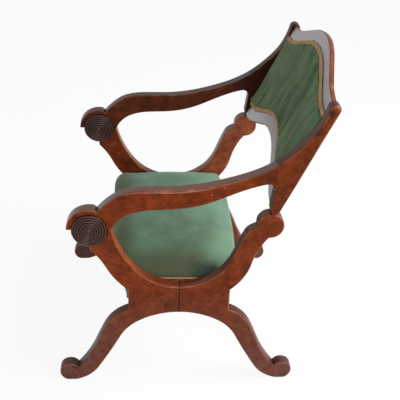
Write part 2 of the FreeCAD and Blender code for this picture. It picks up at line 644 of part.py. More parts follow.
def pad_section(x):
    """Cross-section of the seat pad: crown, rolled edges and velvet drawn down over the front rail."""
    share = abs(x) / (INNER_FACE - PAD_SIDE_GAP)
    fullness = math.sqrt(max(0.0, 1 - share ** 5))
    crown = PAD_LOW_Z + PAD_EDGE + (PAD_CROWN - PAD_EDGE) * fullness
    roll = PAD_LOW_Z + PAD_ROLL_EDGE + (PAD_ROLL - PAD_ROLL_EDGE) * fullness
    bulge = (crown - roll) * PAD_BULGE
    rail = -RAIL_Y - CLOTH_GAP
    front = -RAIL_Y - PAD_FRONT_ROLL + PAD_FRONT_DRAW * share ** 4
    rear = rear_bow(x, REAR_RAIL_MIDDLE) - PAD_REAR_INSET

    def place(y, z):
        return Vector(x, y, z)

    front_low = place(rail, PAD_LOW_Z)
    rear_low = place(rear, PAD_LOW_Z)
    rear_roll = place(rear, roll)
    rear_top = place(rear - (crown - roll), roll + bulge)
    front_top = place(front + (crown - roll), roll + bulge)
    front_roll = place(front, roll)
    hem = place(rail - SKIRT_THICK, FRONT_RAIL_LOW_Z)
    hem_inside = place(rail, FRONT_RAIL_LOW_Z)
    tuck = place(front + (hem.y - front) * SKIRT_TUCK_SHARE, PAD_LOW_Z - SKIRT_TUCK)
    middle = place((front_top.y + rear_top.y) / 2, crown)
    round_share = math.sin(math.radians(45))
    chain = [
        Part.LineSegment(front_low, rear_low),
        Part.LineSegment(rear_low, rear_roll),
        quarter(rear_roll, rear_top, round_share),
        Part.Arc(rear_top, middle, front_top),
        quarter(front_top, front_roll, 1 - round_share),
        Part.Arc(front_roll, tuck, hem),
        Part.LineSegment(hem, hem_inside),
        Part.LineSegment(hem_inside, front_low),
    ]
    return Part.Wire([edge.toShape() for edge in chain])


def seat_pad():
    half = INNER_FACE - PAD_SIDE_GAP
    sections = [pad_section(half * share) for share in PAD_STATIONS]
    return Part.makeLoft(sections, True, True)


def seat_braid():
    """Narrow braid over the lower edge of the pad, between the pad and each side frame."""
    strips = []
    for side in SIDES.values():
        pad_side = INNER_FACE - PAD_SIDE_GAP
        inside, outside = sorted((side * pad_side, side * (pad_side + SEAT_BRAID_THICK)))
        low = Vector(inside, -SEAT_BRAID_HALF, PAD_LOW_Z)
        strips.append(block(low, Vector(outside, SEAT_BRAID_HALF, PAD_LOW_Z + SEAT_BRAID_HEIGHT)))
    return Part.makeCompound(strips)


# All pieces by name


pieces = {}
for name, side in SIDES.items():
    pieces[name + "_front_support"] = front_support(side)
    pieces[name + "_rear_support"] = rear_support(side)
    pieces[name + "_front_leg"] = leg(side, -1)
    pieces[name + "_rear_leg"] = leg(side, 1)
    pieces[name + "_arm"] = arm(side)
    pieces[name + "_stile"] = stile(side)
    pieces[name + "_pivot_pin"] = rod(PIN_RADIUS, *pin_ends(side))
    pieces[name + "_seat_rail"] = side_seat_rail(side)
pieces["frame_tenons"] = Part.makeCompound([*frame_tenons(1), *frame_tenons(-1)])
pieces["arm_tenons"] = Part.makeCompound([arm_tenon(1), arm_tenon(-1)])
pieces["outer_roundels"] = roundels(1)
pieces["inner_roundels"] = roundels(-1)
pieces["corner_blocks"] = corner_blocks()
pieces["front_seat_rail"] = front_seat_rail()
pieces["rear_seat_rail"] = rear_seat_rail()
pieces["seat_webbing_long"] = webbing_long()
pieces["seat_webbing_cross"] = webbing_cross()
pieces["seat_base_cloth"] = seat_base_cloth()
pieces["seat_pad"] = seat_pad()
pieces["seat_braid"] = seat_braid()
pieces["back_panel"] = back_panel()
pieces["back_cloth"] = back_cloth()
pieces["upper_braid"] = braid(BRAID_MARGIN)
pieces["lower_braid"] = braid(PANEL_HEIGHT - BRAID_MARGIN)

# The origin moves from the middle seam to the middle of the chair's length
front_reach = -(FOOT_Y + FOOT_RADIUS)
rear_reach = (PANEL_CORNER + toward(LEAN) * CREST_RISE).y
to_origin = Vector(0, -(front_reach + rear_reach) / 2, 0)

os.makedirs("parts", exist_ok=True)
for name, shape in pieces.items():
    shape.translate(to_origin)
    shape.exportStep("parts/" + name + ".step")
    print("%-22s solids %d valid %s volume %.0f" % (name, len(shape.Solids), shape.isValid(), shape.Volume))
print("pivot at y %.3f z %.3f" % (PIVOT_Y + to_origin.y, PIVOT_Z))
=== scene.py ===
import math

import bmesh
import bpy
from mathutils import Matrix, Vector, noise


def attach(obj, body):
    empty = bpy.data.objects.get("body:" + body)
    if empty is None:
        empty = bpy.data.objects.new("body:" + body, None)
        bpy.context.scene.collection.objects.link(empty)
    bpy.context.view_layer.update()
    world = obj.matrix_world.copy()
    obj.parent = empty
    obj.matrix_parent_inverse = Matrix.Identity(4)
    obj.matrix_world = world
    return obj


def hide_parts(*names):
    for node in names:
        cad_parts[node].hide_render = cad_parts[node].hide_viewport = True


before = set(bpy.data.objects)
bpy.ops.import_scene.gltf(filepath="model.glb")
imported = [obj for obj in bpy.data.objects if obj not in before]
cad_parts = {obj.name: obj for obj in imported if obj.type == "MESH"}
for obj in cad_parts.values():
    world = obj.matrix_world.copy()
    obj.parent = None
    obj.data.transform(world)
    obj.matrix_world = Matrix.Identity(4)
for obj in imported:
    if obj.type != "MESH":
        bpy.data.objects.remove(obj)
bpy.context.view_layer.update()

# Side frames
# Each side is four boards of polished mahogany, 32 mm thick: two supports that make the U and two arched legs
# with scroll feet. They are sawn to shape, tenoned together, and rounded by hand along their edges.

FRAME_ROUND = 0.005
SEAM_ROUND = 0.0013
LEG_SEAM_ROUND = 0.0004
CORNER_ROUND = 0.0015
INNER_ROUND = 0.003
ROUND_SEGMENTS = 4
SHARP = math.radians(30)
FLAT = math.radians(1)
LEAST = 1e-9
MERGED = 1e-6
TINY = 1e-5
TOUCH = 2e-5
APART = 1e-4
MIDDLE_SEAM_Y = -0.036398
LEG_SEAM_Z = 0.250
FRAME_JOINTS = [(1, MIDDLE_SEAM_Y, SEAM_ROUND), (2, LEG_SEAM_Z, LEG_SEAM_ROUND)]
BOARD_FACES = (0.268, 0.300)
PIVOT_Y = -0.252398
PIVOT_Z = 0.4525
ARM_JOINT_Y = 0.176602
ARM_JOINT_LOW_Z = 0.560
STILE_FOOT = (0.181602, 0.507237)
FINE_ROUND = 0.16
FINE_PLACES = [
    (PIVOT_Y, PIVOT_Z, 0.066, 0.003), (ARM_JOINT_Y, ARM_JOINT_LOW_Z, 0.004, 0.0006), (*STILE_FOOT, 0.032, 0.0022)]
LONGEST_RUN = 0.016
LEVEL = 0.9999
FACE_TILT = 0.96
RIM_TILT = 0.5
WORN_TILT = 0.2


def placed(name, mesh):
    """New piece at the origin."""
    piece = bpy.data.objects.new(name, mesh)
    bpy.context.scene.collection.objects.link(piece)
    return piece


def finished(piece):
    """Turns the modifiers of a piece into its mesh."""
    evaluated = piece.evaluated_get(bpy.context.evaluated_depsgraph_get())
    mesh = bpy.data.meshes.new_from_object(evaluated)
    piece.modifiers.clear()
    piece.data = mesh
    return piece


def lies_on(corners, face_x):
    """Whether all the corners lie on the face of a board that is face_x from the middle of the chair."""
    return all(abs(abs(corner.co.x) - face_x) < TOUCH for corner in corners)


def spot(corner):
    """Place (y, z) of a corner, fit to be compared with others."""
    return round(corner.co.y, 5), round(corner.co.z, 5)


def run(edge):
    """Way (y, z) that an edge goes along the board; none for an edge straight across it."""
    return (edge.verts[1].co - edge.verts[0].co).yz


def rise(edge):
    """How far an edge goes across the board."""
    return abs(edge.verts[1].co.x - edge.verts[0].co.x)


def outline_corners(bm):
    """Corners (y, z) that both faces of a board have, which leaves out the mouths of mortises and grooves."""
    inner, outer = ({spot(corner) for corner in bm.verts if lies_on([corner], face_x)} for face_x in BOARD_FACES)
    return inner & outer


def edge_width(edge, width, joints):
    """Rounding of one edge of a board: finer inside, and finest at joints, corners and the fine places."""
    for axis, place, joint_width in joints:
        if all(abs(corner.co[axis] - place) < TOUCH for corner in edge.verts):
            return joint_width
    if rise(edge) > APART:
        return CORNER_ROUND
    if lies_on(edge.verts, BOARD_FACES[0]):
        width = min(width, INNER_ROUND)
    middle = (edge.verts[0].co + edge.verts[1].co) / 2
    for y, z, reach, fine in FINE_PLACES:
        away = math.hypot(middle.y - y, middle.z - z) - reach
        width = min(width, fine + (width - fine) * max(0.0, min(1.0, away / FINE_ROUND)))
    return width


def smooth_patches(bm):
    """Sets of rim faces that join smoothly, divided at the edges straight across the board."""
    rims = [face for face in bm.faces if abs(face.normal.x) < RIM_TILT]
    waiting = set(rims)
    patches = []
    for rim in rims:
        if rim not in waiting:
            continue
        waiting.remove(rim)
        patch, found = set(), [rim]
        while found:
            face = found.pop()
            patch.add(face)
            for edge in face.edges:
                if run(edge).length < TINY or len(edge.link_faces) != 2 or edge.calc_face_angle() > SHARP:
                    continue
                beyond = [other for other in edge.link_faces if other in waiting]
                waiting.difference_update(beyond)
                found += beyond
        patches.append(patch)
    return patches


def straighten_rims(bm):
    """Lays each rim that runs from face to face of a board anew, as strips straight across it."""
    for patch in smooth_patches(bm):
        sides = ({}, {})
        stray = False
        for edge in bm.edges:
            inside = [face in patch for face in edge.link_faces]
            if run(edge).length < TINY or all(inside) or not any(inside):
                continue
            on_side = [side for side, face_x in zip(sides, BOARD_FACES) if lies_on(edge.verts, face_x)]
            stray = stray or not on_side
            for side in on_side:
                side[frozenset(map(spot, edge.verts))] = edge.verts[:]
        if stray or sides[0].keys() != sides[1].keys():
            continue
        bmesh.ops.delete(bm, geom=list(patch), context="FACES")
        for places, (first, second) in sides[0].items():
            third, fourth = sides[1][places]
            if (third.co - second.co).yz.length > APART:
                third, fourth = fourth, third
            bm.faces.new((first, second, third, fourth))
    bmesh.ops.recalc_face_normals(bm, faces=bm.faces)


def without_diagonals(bm):
    """Takes out the edges that only divide flat faces, and keeps all corners."""
    spare = []
    for edge in bm.edges:
        if len(edge.link_faces) != 2 or edge.calc_face_angle() > FLAT:
            continue
        on_face = all(abs(face.normal.x) > LEVEL for face in edge.link_faces)
        if on_face or (rise(edge) > TINY and run(edge).length > TINY):
            spare.append(edge)
    bmesh.ops.dissolve_edges(bm, edges=spare, use_verts=False, use_face_split=False)


def divide(bm, chosen_edges, longest):
    """Halves the chosen edges along a board until none is longer than that."""
    long = True
    while long:
        long = [edge for edge in chosen_edges() if rise(edge) < TINY and run(edge).length > longest]
        bmesh.ops.subdivide_edges(bm, edges=long, cuts=1)


def carried_through(bm):
    """Makes a board anew from its outer face, without the groove and mortises that other pieces fill.

    Its long straight edges are divided, so that the rounding can change along them.
    """
    outer = [face for face in bm.faces if lies_on(face.verts, BOARD_FACES[1])]
    bmesh.ops.delete(bm, geom=[face for face in bm.faces if face not in outer], context="FACES")
    made = bmesh.ops.extrude_face_region(bm, geom=outer)
    for corner in made["geom"]:
        if isinstance(corner, bmesh.types.BMVert):
            corner.co.x *= BOARD_FACES[0] / BOARD_FACES[1]
    bmesh.ops.recalc_face_normals(bm, faces=bm.faces)
    without_diagonals(bm)
    divide(bm, lambda: bm.edges, LONGEST_RUN)


def spread_evenly(line, count, parts=8, lead=0):
    """Points at even steps along a smooth line through the given points.

    Each stretch of it is drawn in parts; with a lead of 1 it runs on straight at its ends, with 0 it slows there.
    """
    guide = [line[0] + (line[0] - line[1]) * lead, *line, line[-1] + (line[-1] - line[-2]) * lead]
    fine = []
    for before, start, end, after in zip(guide, guide[1:], guide[2:], guide[3:]):
        for part in range(parts):
            t = part / parts
            fine.append(0.5 * (2 * start + (end - before) * t + (2 * before - 5 * start + 4 * end - after) * t * t
                               + (3 * start - before - 3 * end + after) * t ** 3))
    fine.append(line[-1])
    lengths = [0.0]
    for first, second in zip(fine, fine[1:]):
        lengths.append(lengths[-1] + (second - first).length)
    points, index = [], 0
    for step in range(count + 1):
        reach = lengths[-1] * step / count
        while index < len(fine) - 2 and lengths[index + 1] < reach:
            index += 1
        part = (reach - lengths[index]) / max(lengths[index + 1] - lengths[index], LEAST)
        points.append(fine[index].lerp(fine[index + 1], min(part, 1.0)))
    return points


KNOB = (0.174602, 0.464)
KNOB_RADIUS = 0.032
KNOB_NOTCH = (188, 183, 178, 172)
SHOULDER_STEP = 0.0045
SHOULDER_PARTS = 12
SHOULDER = [
    (0.0317, 0.3075), (0.0563, 0.3250), (0.0699, 0.3398), (0.0796, 0.3543), (0.0867, 0.3673), (0.0915, 0.3786),
    (0.0955, 0.3887), (0.0995, 0.3990), (0.1035, 0.4094), (0.1072, 0.4188), (0.1113, 0.4281), (0.1156, 0.4373),
    (0.1198, 0.4443), (0.1251, 0.4499), (0.1332, 0.4549)]


def outline_part(bm, start, end):
    """Places (y, z) of the corners of a board's outer face between two of them, the shorter way round."""
    faces = [face for face in bm.faces if lies_on(face.verts, BOARD_FACES[1])]
    loop = [corner.co.yz for corner in max(faces, key=lambda face: face.calc_area()).verts]
    first = min(range(len(loop)), key=lambda number: (loop[number] - start).length)
    loop = loop[first:] + loop[:first]
    last = min(range(len(loop)), key=lambda number: (loop[number] - end).length)
    ways = (loop[:last + 1], [loop[0], *reversed(loop[last:])])
    return min(ways, key=lambda way: sum((after - before).length for before, after in zip(way, way[1:])))


def shouldered(bm):
    """Gives a rear support the full shoulder and the notch under its knob, by moving corners of its front edge."""
    turns = [math.radians(turn) for turn in KNOB_NOTCH]
    arc = [Vector(KNOB) + Vector((math.cos(turn), math.sin(turn))) * KNOB_RADIUS for turn in turns]

    def front_places():
        return outline_part(bm, Vector(SHOULDER[0]), arc[-1])

    def front_edges():
        places = front_places()
        return [edge for edge in bm.edges if all(
            any((corner.co.yz - place).length < TOUCH for place in places) for corner in edge.verts)]

    divide(bm, front_edges, SHOULDER_STEP)
    places = front_places()
    route = [places[0], *map(Vector, SHOULDER[1:]), arc[0]]
    shoulder = spread_evenly(route, len(places) - len(arc), SHOULDER_PARTS, lead=1)
    new_places = [*shoulder[1:-1], *arc[:-1]]
    for corner in bm.verts:
        for place, new_place in zip(places[1:-1], new_places):
            if (corner.co.yz - place).length < TOUCH:
                corner.co.yz = new_place
                break


def rounded(cad_name, name, width, joints=None, filled=False, reshape=None):
    """Copy of a CAD piece with rounded edges.

    For a board, joints are the planes (axis, place, width) where it meets others, filled makes it anew without its
    mortises, and reshape changes its outline.
    """
    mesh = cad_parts[cad_name].data.copy()
    mesh.materials.clear()
    bm = bmesh.new()
    bm.from_mesh(mesh)
    bmesh.ops.remove_doubles(bm, verts=bm.verts, dist=MERGED)
    if joints is not None and not filled:
        straighten_rims(bm)
    without_diagonals(bm)
    if filled:
        carried_through(bm)
    if reshape is not None:
        reshape(bm)
    outline = None if joints is None else outline_corners(bm)
    share = bm.edges.layers.float.new("bevel_weight_edge")
    for edge in bm.edges:
        if len(edge.link_faces) != 2 or edge.calc_face_angle() < SHARP:
            continue
        edge.smooth = False
        if not edge.is_convex:
            continue
        if outline is None:
            edge[share] = 1.0
        elif all(spot(corner) in outline for corner in edge.verts):
            edge[share] = edge_width(edge, width, joints) / width
    for face in bm.faces:
        face.smooth = True
    bm.to_mesh(mesh)
    bm.free()
    piece = placed(name, mesh)
    bevel = piece.modifiers.new("rounding", "BEVEL")
    bevel.limit_method = "WEIGHT"
    bevel.width = width
    bevel.segments = ROUND_SEGMENTS
    bevel.use_clamp_overlap = False
    smooth = piece.modifiers.new("shading", "WEIGHTED_NORMAL")
    smooth.keep_sharp = True
    finished(piece)
    tilts = [abs(face.normal.x) for face in piece.data.polygons]
    for label, least in (("worn", WORN_TILT), ("rim", -1.0)):
        values = [1.0 if least < tilt < FACE_TILT else 0.0 for tilt in tilts]
        piece.data.attributes.new(label, "FLOAT", "FACE").data.foreach_set("value", values)
    return piece


def fill(tree, socket, value):
    """Sets a socket to a value, or links it to another socket."""
    if isinstance(value, bpy.types.NodeSocket):
        tree.links.new(value, socket)
    else:
        socket.default_value = value


def fill_all(tree, made, **settings):
    """Fills the sockets of a node by their names."""
    for label, value in settings.items():
        fill(tree, made.inputs[label.replace("_", " ")], value)


def node(tree, kind, family="ShaderNode", **settings):
    """New node; settings with a socket's name fill that socket, others set the node's own property."""
    made = tree.nodes.new(family + kind)
    for label, value in settings.items():
        if hasattr(made, label):
            setattr(made, label, value)
        else:
            fill_all(tree, made, **{label: value})
    return made


def maths(tree, operation, *values, clamp=False):
    """Result of one sum on sockets or values."""
    made = node(tree, "Math", operation=operation, use_clamp=clamp)
    for socket, value in zip(made.inputs, values):
        fill(tree, socket, value)
    return made.outputs[0]


def vectors(tree, operation, first, second):
    """Result of one sum on places; a distance is a value."""
    made = node(tree, "VectorMath", operation=operation)
    fill(tree, made.inputs[0], first)
    fill(tree, made.inputs[3 if operation == "SCALE" else 1], second)
    return made.outputs["Value" if operation == "DISTANCE" else "Vector"]


def mapped(tree, source, low, high, start=0.0, end=1.0, **settings):
    """Value that goes from low to high while the source goes from start to end."""
    made = node(tree, "MapRange", Value=source, From_Min=start, From_Max=end, To_Min=low, To_Max=high, **settings)
    return made.outputs[0]


def noisy(tree, place, scale, **settings):
    """Value of a noise at a place."""
    return node(tree, "TexNoise", Vector=place, Scale=scale, **settings).outputs["Fac"]


def attribute(tree, name):
    """Value that the mesh itself carries."""
    return node(tree, "Attribute", attribute_name=name).outputs["Fac"]


def ramp(tree, source, *stops):
    """Grey by a value, from stops (place, tone)."""
    made = node(tree, "ValToRGB", Fac=source)
    points = made.color_ramp.elements
    for point, (place, tone) in zip(points, stops):
        point.position = place
        point.color = (tone, tone, tone, 1)
    return made.outputs[0]


def mixed(tree, share, first, second, kind="MIX"):
    """Colour between two; share, first and second are sockets or values."""
    made = node(tree, "Mix", data_type="RGBA", blend_type=kind, clamp_factor=True)
    for number, value in ((0, share), (6, first), (7, second)):
        fill(tree, made.inputs[number], value)
    return made.outputs[2]


def relief(tree, height, strength, distance):
    """Normal of a surface with fine relief."""
    return node(tree, "Bump", Height=height, Strength=strength, Distance=distance).outputs[0]


def group(name, inputs, outputs):
    """Empty shader group with its named inputs (kind, value) and outputs (kind)."""
    tree = bpy.data.node_groups.new(name, "ShaderNodeTree")
    for label, (kind, value) in inputs.items():
        socket = tree.interface.new_socket(label, in_out="INPUT", socket_type="NodeSocket" + kind)
        if value is not None:
            socket.default_value = value
    for label, kind in outputs.items():
        tree.interface.new_socket(label, in_out="OUTPUT", socket_type="NodeSocket" + kind)
    return tree, tree.nodes.new("NodeGroupInput").outputs, tree.nodes.new("NodeGroupOutput")


def grained(tree, place, scale, across, detail, roughness):
    """Noise drawn out along the grain, which runs along Y."""
    stretch = node(tree, "Mapping", Vector=place, Scale=(across, across / scale, across))
    return noisy(tree, stretch.outputs[0], 1.0, Detail=detail, Roughness=roughness)


def grain_group():
    """Long grain of a polished board: broad figure, dark streaks, fine pores."""
    tree, given, result = group(
        "long_grain",
        {"Place": ("Vector", None), "Light": ("Color", (0.3, 0.1, 0.04, 1)), "Dark": ("Color", (0.08, 0.02, 0.01, 1))},
        {"Color": "Color", "Streak": "Float", "Height": "Float"})
    figure = ramp(tree, grained(tree, given["Place"], 7, 34, 4, 0.55), (0.32, 0), (0.68, 1))
    streak = ramp(tree, grained(tree, given["Place"], 16, 190, 5, 0.62), (0.48, 0), (0.68, 1))
    pore = ramp(tree, grained(tree, given["Place"], 22, 900, 2, 0.5), (0.6, 0), (0.72, 1))
    deep = maths(tree, "MULTIPLY", figure, 0.3)
    deep = maths(tree, "MULTIPLY_ADD", streak, 0.34, deep)
    deep = maths(tree, "MULTIPLY_ADD", pore, 0.25, deep, clamp=True)
    fill_all(tree, result, Color=mixed(tree, deep, given["Light"], given["Dark"]), Streak=streak,
             Height=maths(tree, "SUBTRACT", 1.0, deep))
    return tree


def wear_and_rim_shading_group():
    """Old polish: edges rubbed light, rims burnished and given painted light and shade, a mottled tone, dark stains and
    specks.
    """
    tree, given, result = group(
        "old_polish_and_rim_shading",
        {"Place": ("Vector", None), "Rim Tone": ("Color", (0.5, 0.5, 0.5, 1)), "Rim Shine": ("Float", 0.3)},
        {"Rubbed": "Float", "Burnished": "Float", "Stained": "Float", "Tone": "Color"})
    place = given["Place"]
    edge, rim = attribute(tree, "worn"), attribute(tree, "rim")
    patchy = ramp(tree, noisy(tree, place, 30.0, Detail=4.0, Roughness=0.6), (0.4, 0), (0.66, 0.75))
    stain = ramp(tree, noisy(tree, place, 15.0, Detail=7.0, Roughness=0.75, Distortion=0.6), (0.53, 0), (0.72, 0.6))
    speck = ramp(tree, noisy(tree, place, 330.0, Detail=2.0, Roughness=0.6), (0.66, 0), (0.74, 0.55))
    mottle = ramp(tree, noisy(tree, place, 42.0, Detail=6.0, Roughness=0.72), (0.34, 0.56), (0.68, 1.17))
    rim_shine = mapped(tree, rim, 0.02, given["Rim Shine"])
    plain_rim = maths(tree, "SUBTRACT", rim, edge, clamp=True)
    fill_all(tree, result, Rubbed=maths(tree, "MULTIPLY", edge, patchy),
             Burnished=maths(tree, "MULTIPLY_ADD", edge, 0.1, rim_shine, clamp=True),
             Stained=maths(tree, "MAXIMUM", stain, speck), Tone=mixed(tree, plain_rim, mottle, given["Rim Tone"]))
    return tree


def new_material(name):
    """New material, its node tree, its shader, and the place on the piece."""
    material = bpy.data.materials.new(name)
    material.use_nodes = True
    tree = material.node_tree
    return material, tree, tree.nodes["Principled BSDF"], node(tree, "TexCoord").outputs["Object"]


def darkened(colour, share):
    """Colour at a share of its light."""
    return tuple(value * share for value in colour[:3]) + (1,)


LONG_GRAIN = grain_group()
POLISH_WEAR_AND_RIM_SHADING = wear_and_rim_shading_group()
DUST = (0.125, 0.078, 0.069, 1)
DUST_HEIGHT = 0.29
DUST_SHARE = 0.85
# Painted shade: rims darkened to about two fifths of the wood colour, with a low shine.
PAINTED_RIM_SHADE = ((0.42, 0.4, 0.42, 1), (0.42, 0.4, 0.42, 1), 0.25)
RIM_SHADING_HEIGHTS = (0.30, 0.37)
SEAM_DIRT = (0.006, 0.003, 0.002, 1)


def polished_wood(name, lean, light, dark, rubbed, seams=(), marks=(), rim=PAINTED_RIM_SHADE, coat=None):
    """Polished wood, its grain at lean degrees from the rear (+Y) upwards, or along X where lean is None.

    Seams are dark joint lines (axis, place, half width, share of black); marks are chips, smudges and patches of
    painted shade (place, radius, colour, share); rim is the low and high tone of the rims, painted light and shade
    blended up their height, and their shine; coat is a thick even polish.
    """
    material, tree, shader, place = new_material(name)
    turn = node(tree, "Mapping", Vector=place,
                Rotation=(0, 0, math.pi / 2) if lean is None else (math.radians(-lean), 0, 0))
    grain = node(tree, "Group", node_tree=LONG_GRAIN, Place=turn.outputs[0], Light=light, Dark=dark).outputs
    along = node(tree, "SeparateXYZ", Vector=place).outputs
    low_rim, high_rim, rim_shine = rim
    # Rim colour blended by height between a low and a high tone: painted light and shade on the rims.
    rim_shading = mixed(tree, mapped(tree, along["Z"], 0.0, 1.0, *RIM_SHADING_HEIGHTS), low_rim, high_rim)
    wear_and_shading = node(tree, "Group", node_tree=POLISH_WEAR_AND_RIM_SHADING, Place=place, Rim_Tone=rim_shading, Rim_Shine=rim_shine).outputs
    colour = mixed(tree, wear_and_shading["Rubbed"], grain["Color"], rubbed)
    colour = mixed(tree, 1.0, colour, wear_and_shading["Tone"], "MULTIPLY")
    colour = mixed(tree, wear_and_shading["Stained"], colour, darkened(dark, 0.35))
    blotch = ramp(tree, noisy(tree, place, 55.0, Detail=5.0, Roughness=0.7), (0.38, 0.25), (0.62, 1))
    low = mapped(tree, along["Z"], DUST_SHARE, 0.0, 0.0, DUST_HEIGHT)
    colour = mixed(tree, maths(tree, "MULTIPLY", low, blotch), colour, DUST)
    for axis, seam_place, half, share in seams:
        line = maths(tree, "COMPARE", along[axis], seam_place, half)
        colour = mixed(tree, maths(tree, "MULTIPLY", line, share), colour, SEAM_DIRT)
    frayed = noisy(tree, place, 170.0, Detail=4.0)
    for centre, radius, mark_colour, share in marks:
        away = vectors(tree, "DISTANCE", place, centre)
        uneven = maths(tree, "MULTIPLY_ADD", frayed, radius * 1.4, away)
        colour = mixed(tree, mapped(tree, uneven, share, 0.0, radius, radius * 1.7), colour, mark_colour)
    fill_all(tree, shader, Base_Color=colour, Roughness=mapped(tree, wear_and_shading["Stained"], 0.36, 0.6),
             Normal=relief(tree, grain["Height"], 0.25, 0.0004))
    if coat is None:
        fill_all(tree, shader, Coat_Weight=wear_and_shading["Burnished"], Coat_Roughness=0.2, Coat_IOR=1.42,
                 Specular_IOR_Level=0.03)
    else:
        bloom = noisy(tree, place, 190.0, Detail=5.0, Roughness=0.7)
        fill_all(tree, shader, Coat_Weight=mapped(tree, bloom, coat * 0.8, coat, 0.35, 0.65), Coat_Roughness=0.3,
                 Coat_IOR=1.7)
    return material


FRAME_LIGHT = (0.235, 0.046, 0.014, 1)
FRAME_DARK = (0.06, 0.013, 0.006, 1)
FRAME_RUBBED = (0.42, 0.13, 0.05, 1)
FRAME_SEAMS = [(1, MIDDLE_SEAM_Y, SEAM_ROUND, 0.9), (2, LEG_SEAM_Z, 0.0009, 0.45)]
# Painted light and shade on the support rims: the front support's rims are painted much lighter towards the top, where
# the key lamp catches them; the rear support's rims are darkened, more so higher up.
FRAME_RIM_PAINTED_LIGHT = {"front_support": ((0.8, 0.75, 0.8, 1), (2.1, 2.4, 1.6, 1), 0.3),
              "rear_support": ((0.7, 0.62, 0.66, 1), (0.5, 0.46, 0.48, 1), 0.55)}
# Painted light: the far rear support gets a much lighter wood colour, standing in for the light that reaches it.
FAR_PAINTED_LIGHT = {"rear_support": (0.36, 0.095, 0.04, 1)}
GRIME = (0.018, 0.01, 0.008, 1)
FOOT_MARKS = [
    (-0.292, 0.044, 0.015, 0.5), (-0.322, 0.012, 0.016, 0.35), (0.213, 0.046, 0.015, 0.5), (0.243, 0.014, 0.016, 0.35)]
FRAME_GRAIN = {"front_support": 158, "rear_support": 24, "front_leg": 28, "rear_leg": 152}

for side, face_x, far_painted_light in (("left", BOARD_FACES[1], {}), ("right", -BOARD_FACES[1], FAR_PAINTED_LIGHT)):
    for part, lean in FRAME_GRAIN.items():
        board_name = side + "_" + part
        reshape = shouldered if part == "rear_support" else None
        board = rounded(board_name, board_name + "_board", FRAME_ROUND, FRAME_JOINTS, reshape=reshape)
        marks = [((face_x, y, z), radius, GRIME, share) for y, z, radius, share in FOOT_MARKS if "leg" in part]
        wood = polished_wood(board_name + "_mahogany", lean, far_painted_light.get(part, FRAME_LIGHT), FRAME_DARK, FRAME_RUBBED,
                             FRAME_SEAMS, marks, FRAME_RIM_PAINTED_LIGHT.get(part, PAINTED_RIM_SHADE))
        board.data.materials.append(wood)
        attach(board, "stand")
        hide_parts(board_name)

# Tenons
# Loose tenons of plain hardwood, glued into mortises across the seams. They can't be seen in the finished chair.

TIMBER_LIGHT = (0.40, 0.23, 0.105, 1)
TIMBER_DARK = (0.19, 0.095, 0.04, 1)


def plain_timber(name, lean):
    """Unpolished timber, planed, with open grain."""
    material, tree, shader, place = new_material(name)
    turn = node(tree, "Mapping", Vector=place, Rotation=(0, 0, math.radians(lean)))
    grain = node(tree, "Group", node_tree=LONG_GRAIN, Place=turn.outputs[0], Light=TIMBER_LIGHT, Dark=TIMBER_DARK)
    fill_all(tree, shader, Base_Color=grain.outputs["Color"],
             Roughness=mapped(tree, grain.outputs["Streak"], 0.55, 0.8),
             Normal=relief(tree, grain.outputs["Height"], 0.5, 0.0006))
    return material


tenon_wood = plain_timber("tenon_hardwood", 0)
for tenons in ("frame_tenons", "arm_tenons"):
    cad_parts[tenons].data.materials.clear()
    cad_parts[tenons].data.materials.append(tenon_wood)

# Seat frame
# Four rails between the side frames, with glue blocks in the corners. The front and side rails are plain timber
# under the upholstery; the bowed rear rail shows behind the seat and is polished like the sides.

RAIL_ROUND = 0.0015

along_chair = plain_timber("side_rail_timber", 0)
across_chair = plain_timber("front_rail_timber", 90)
rear_wood = polished_wood("rear_rail_mahogany", 0, FRAME_LIGHT, FRAME_DARK, FRAME_RUBBED)
for rail_name, wood, slot in (
        ("front_seat_rail", across_chair, "seat_timber"), ("left_seat_rail", along_chair, "seat_timber"),
        ("right_seat_rail", along_chair, "seat_timber"), ("corner_blocks", across_chair, "seat_timber"),
        ("rear_seat_rail", rear_wood, "mahogany")):
    rail = rounded(rail_name, rail_name + "_wood", RAIL_ROUND)
    rail.data.materials.append(wood)
    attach(rail, "stand")
    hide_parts(rail_name)

# Webbing and base cloth
# Straps of striped jute webbing, woven over and under each other and tacked to the tops of the rails, carry a
# stretched base cloth of coarse jute under the stuffing.

INNER_FACE = BOARD_FACES[0]
STRAP_Z = 0.2895
STRAP_HALF = 0.025
STRAP_THICK = 0.0012
STRAP_RISE = 0.00075
STRAP_BEND = 1.5 * STRAP_HALF
STRAP_SECTION = [(-1, 0), (-0.6, 0), (0, 0), (0.6, 0), (1, 0), (1, 1), (0.6, 1), (0, 1), (-0.6, 1), (-1, 1)]
STRIPE = (0.5, 0.7)
LONG_STRAPS_X = [-0.17867, -0.08933, 0.0, 0.08933, 0.17867]
CROSS_STRAPS_Y = [-0.0984, -0.0364, 0.0256]
LONG_ENDS_Y = (-0.1574, 0.0876)
CROSS_ENDS_X = (-0.265, 0.265)
STRAP_STEP = 0.006


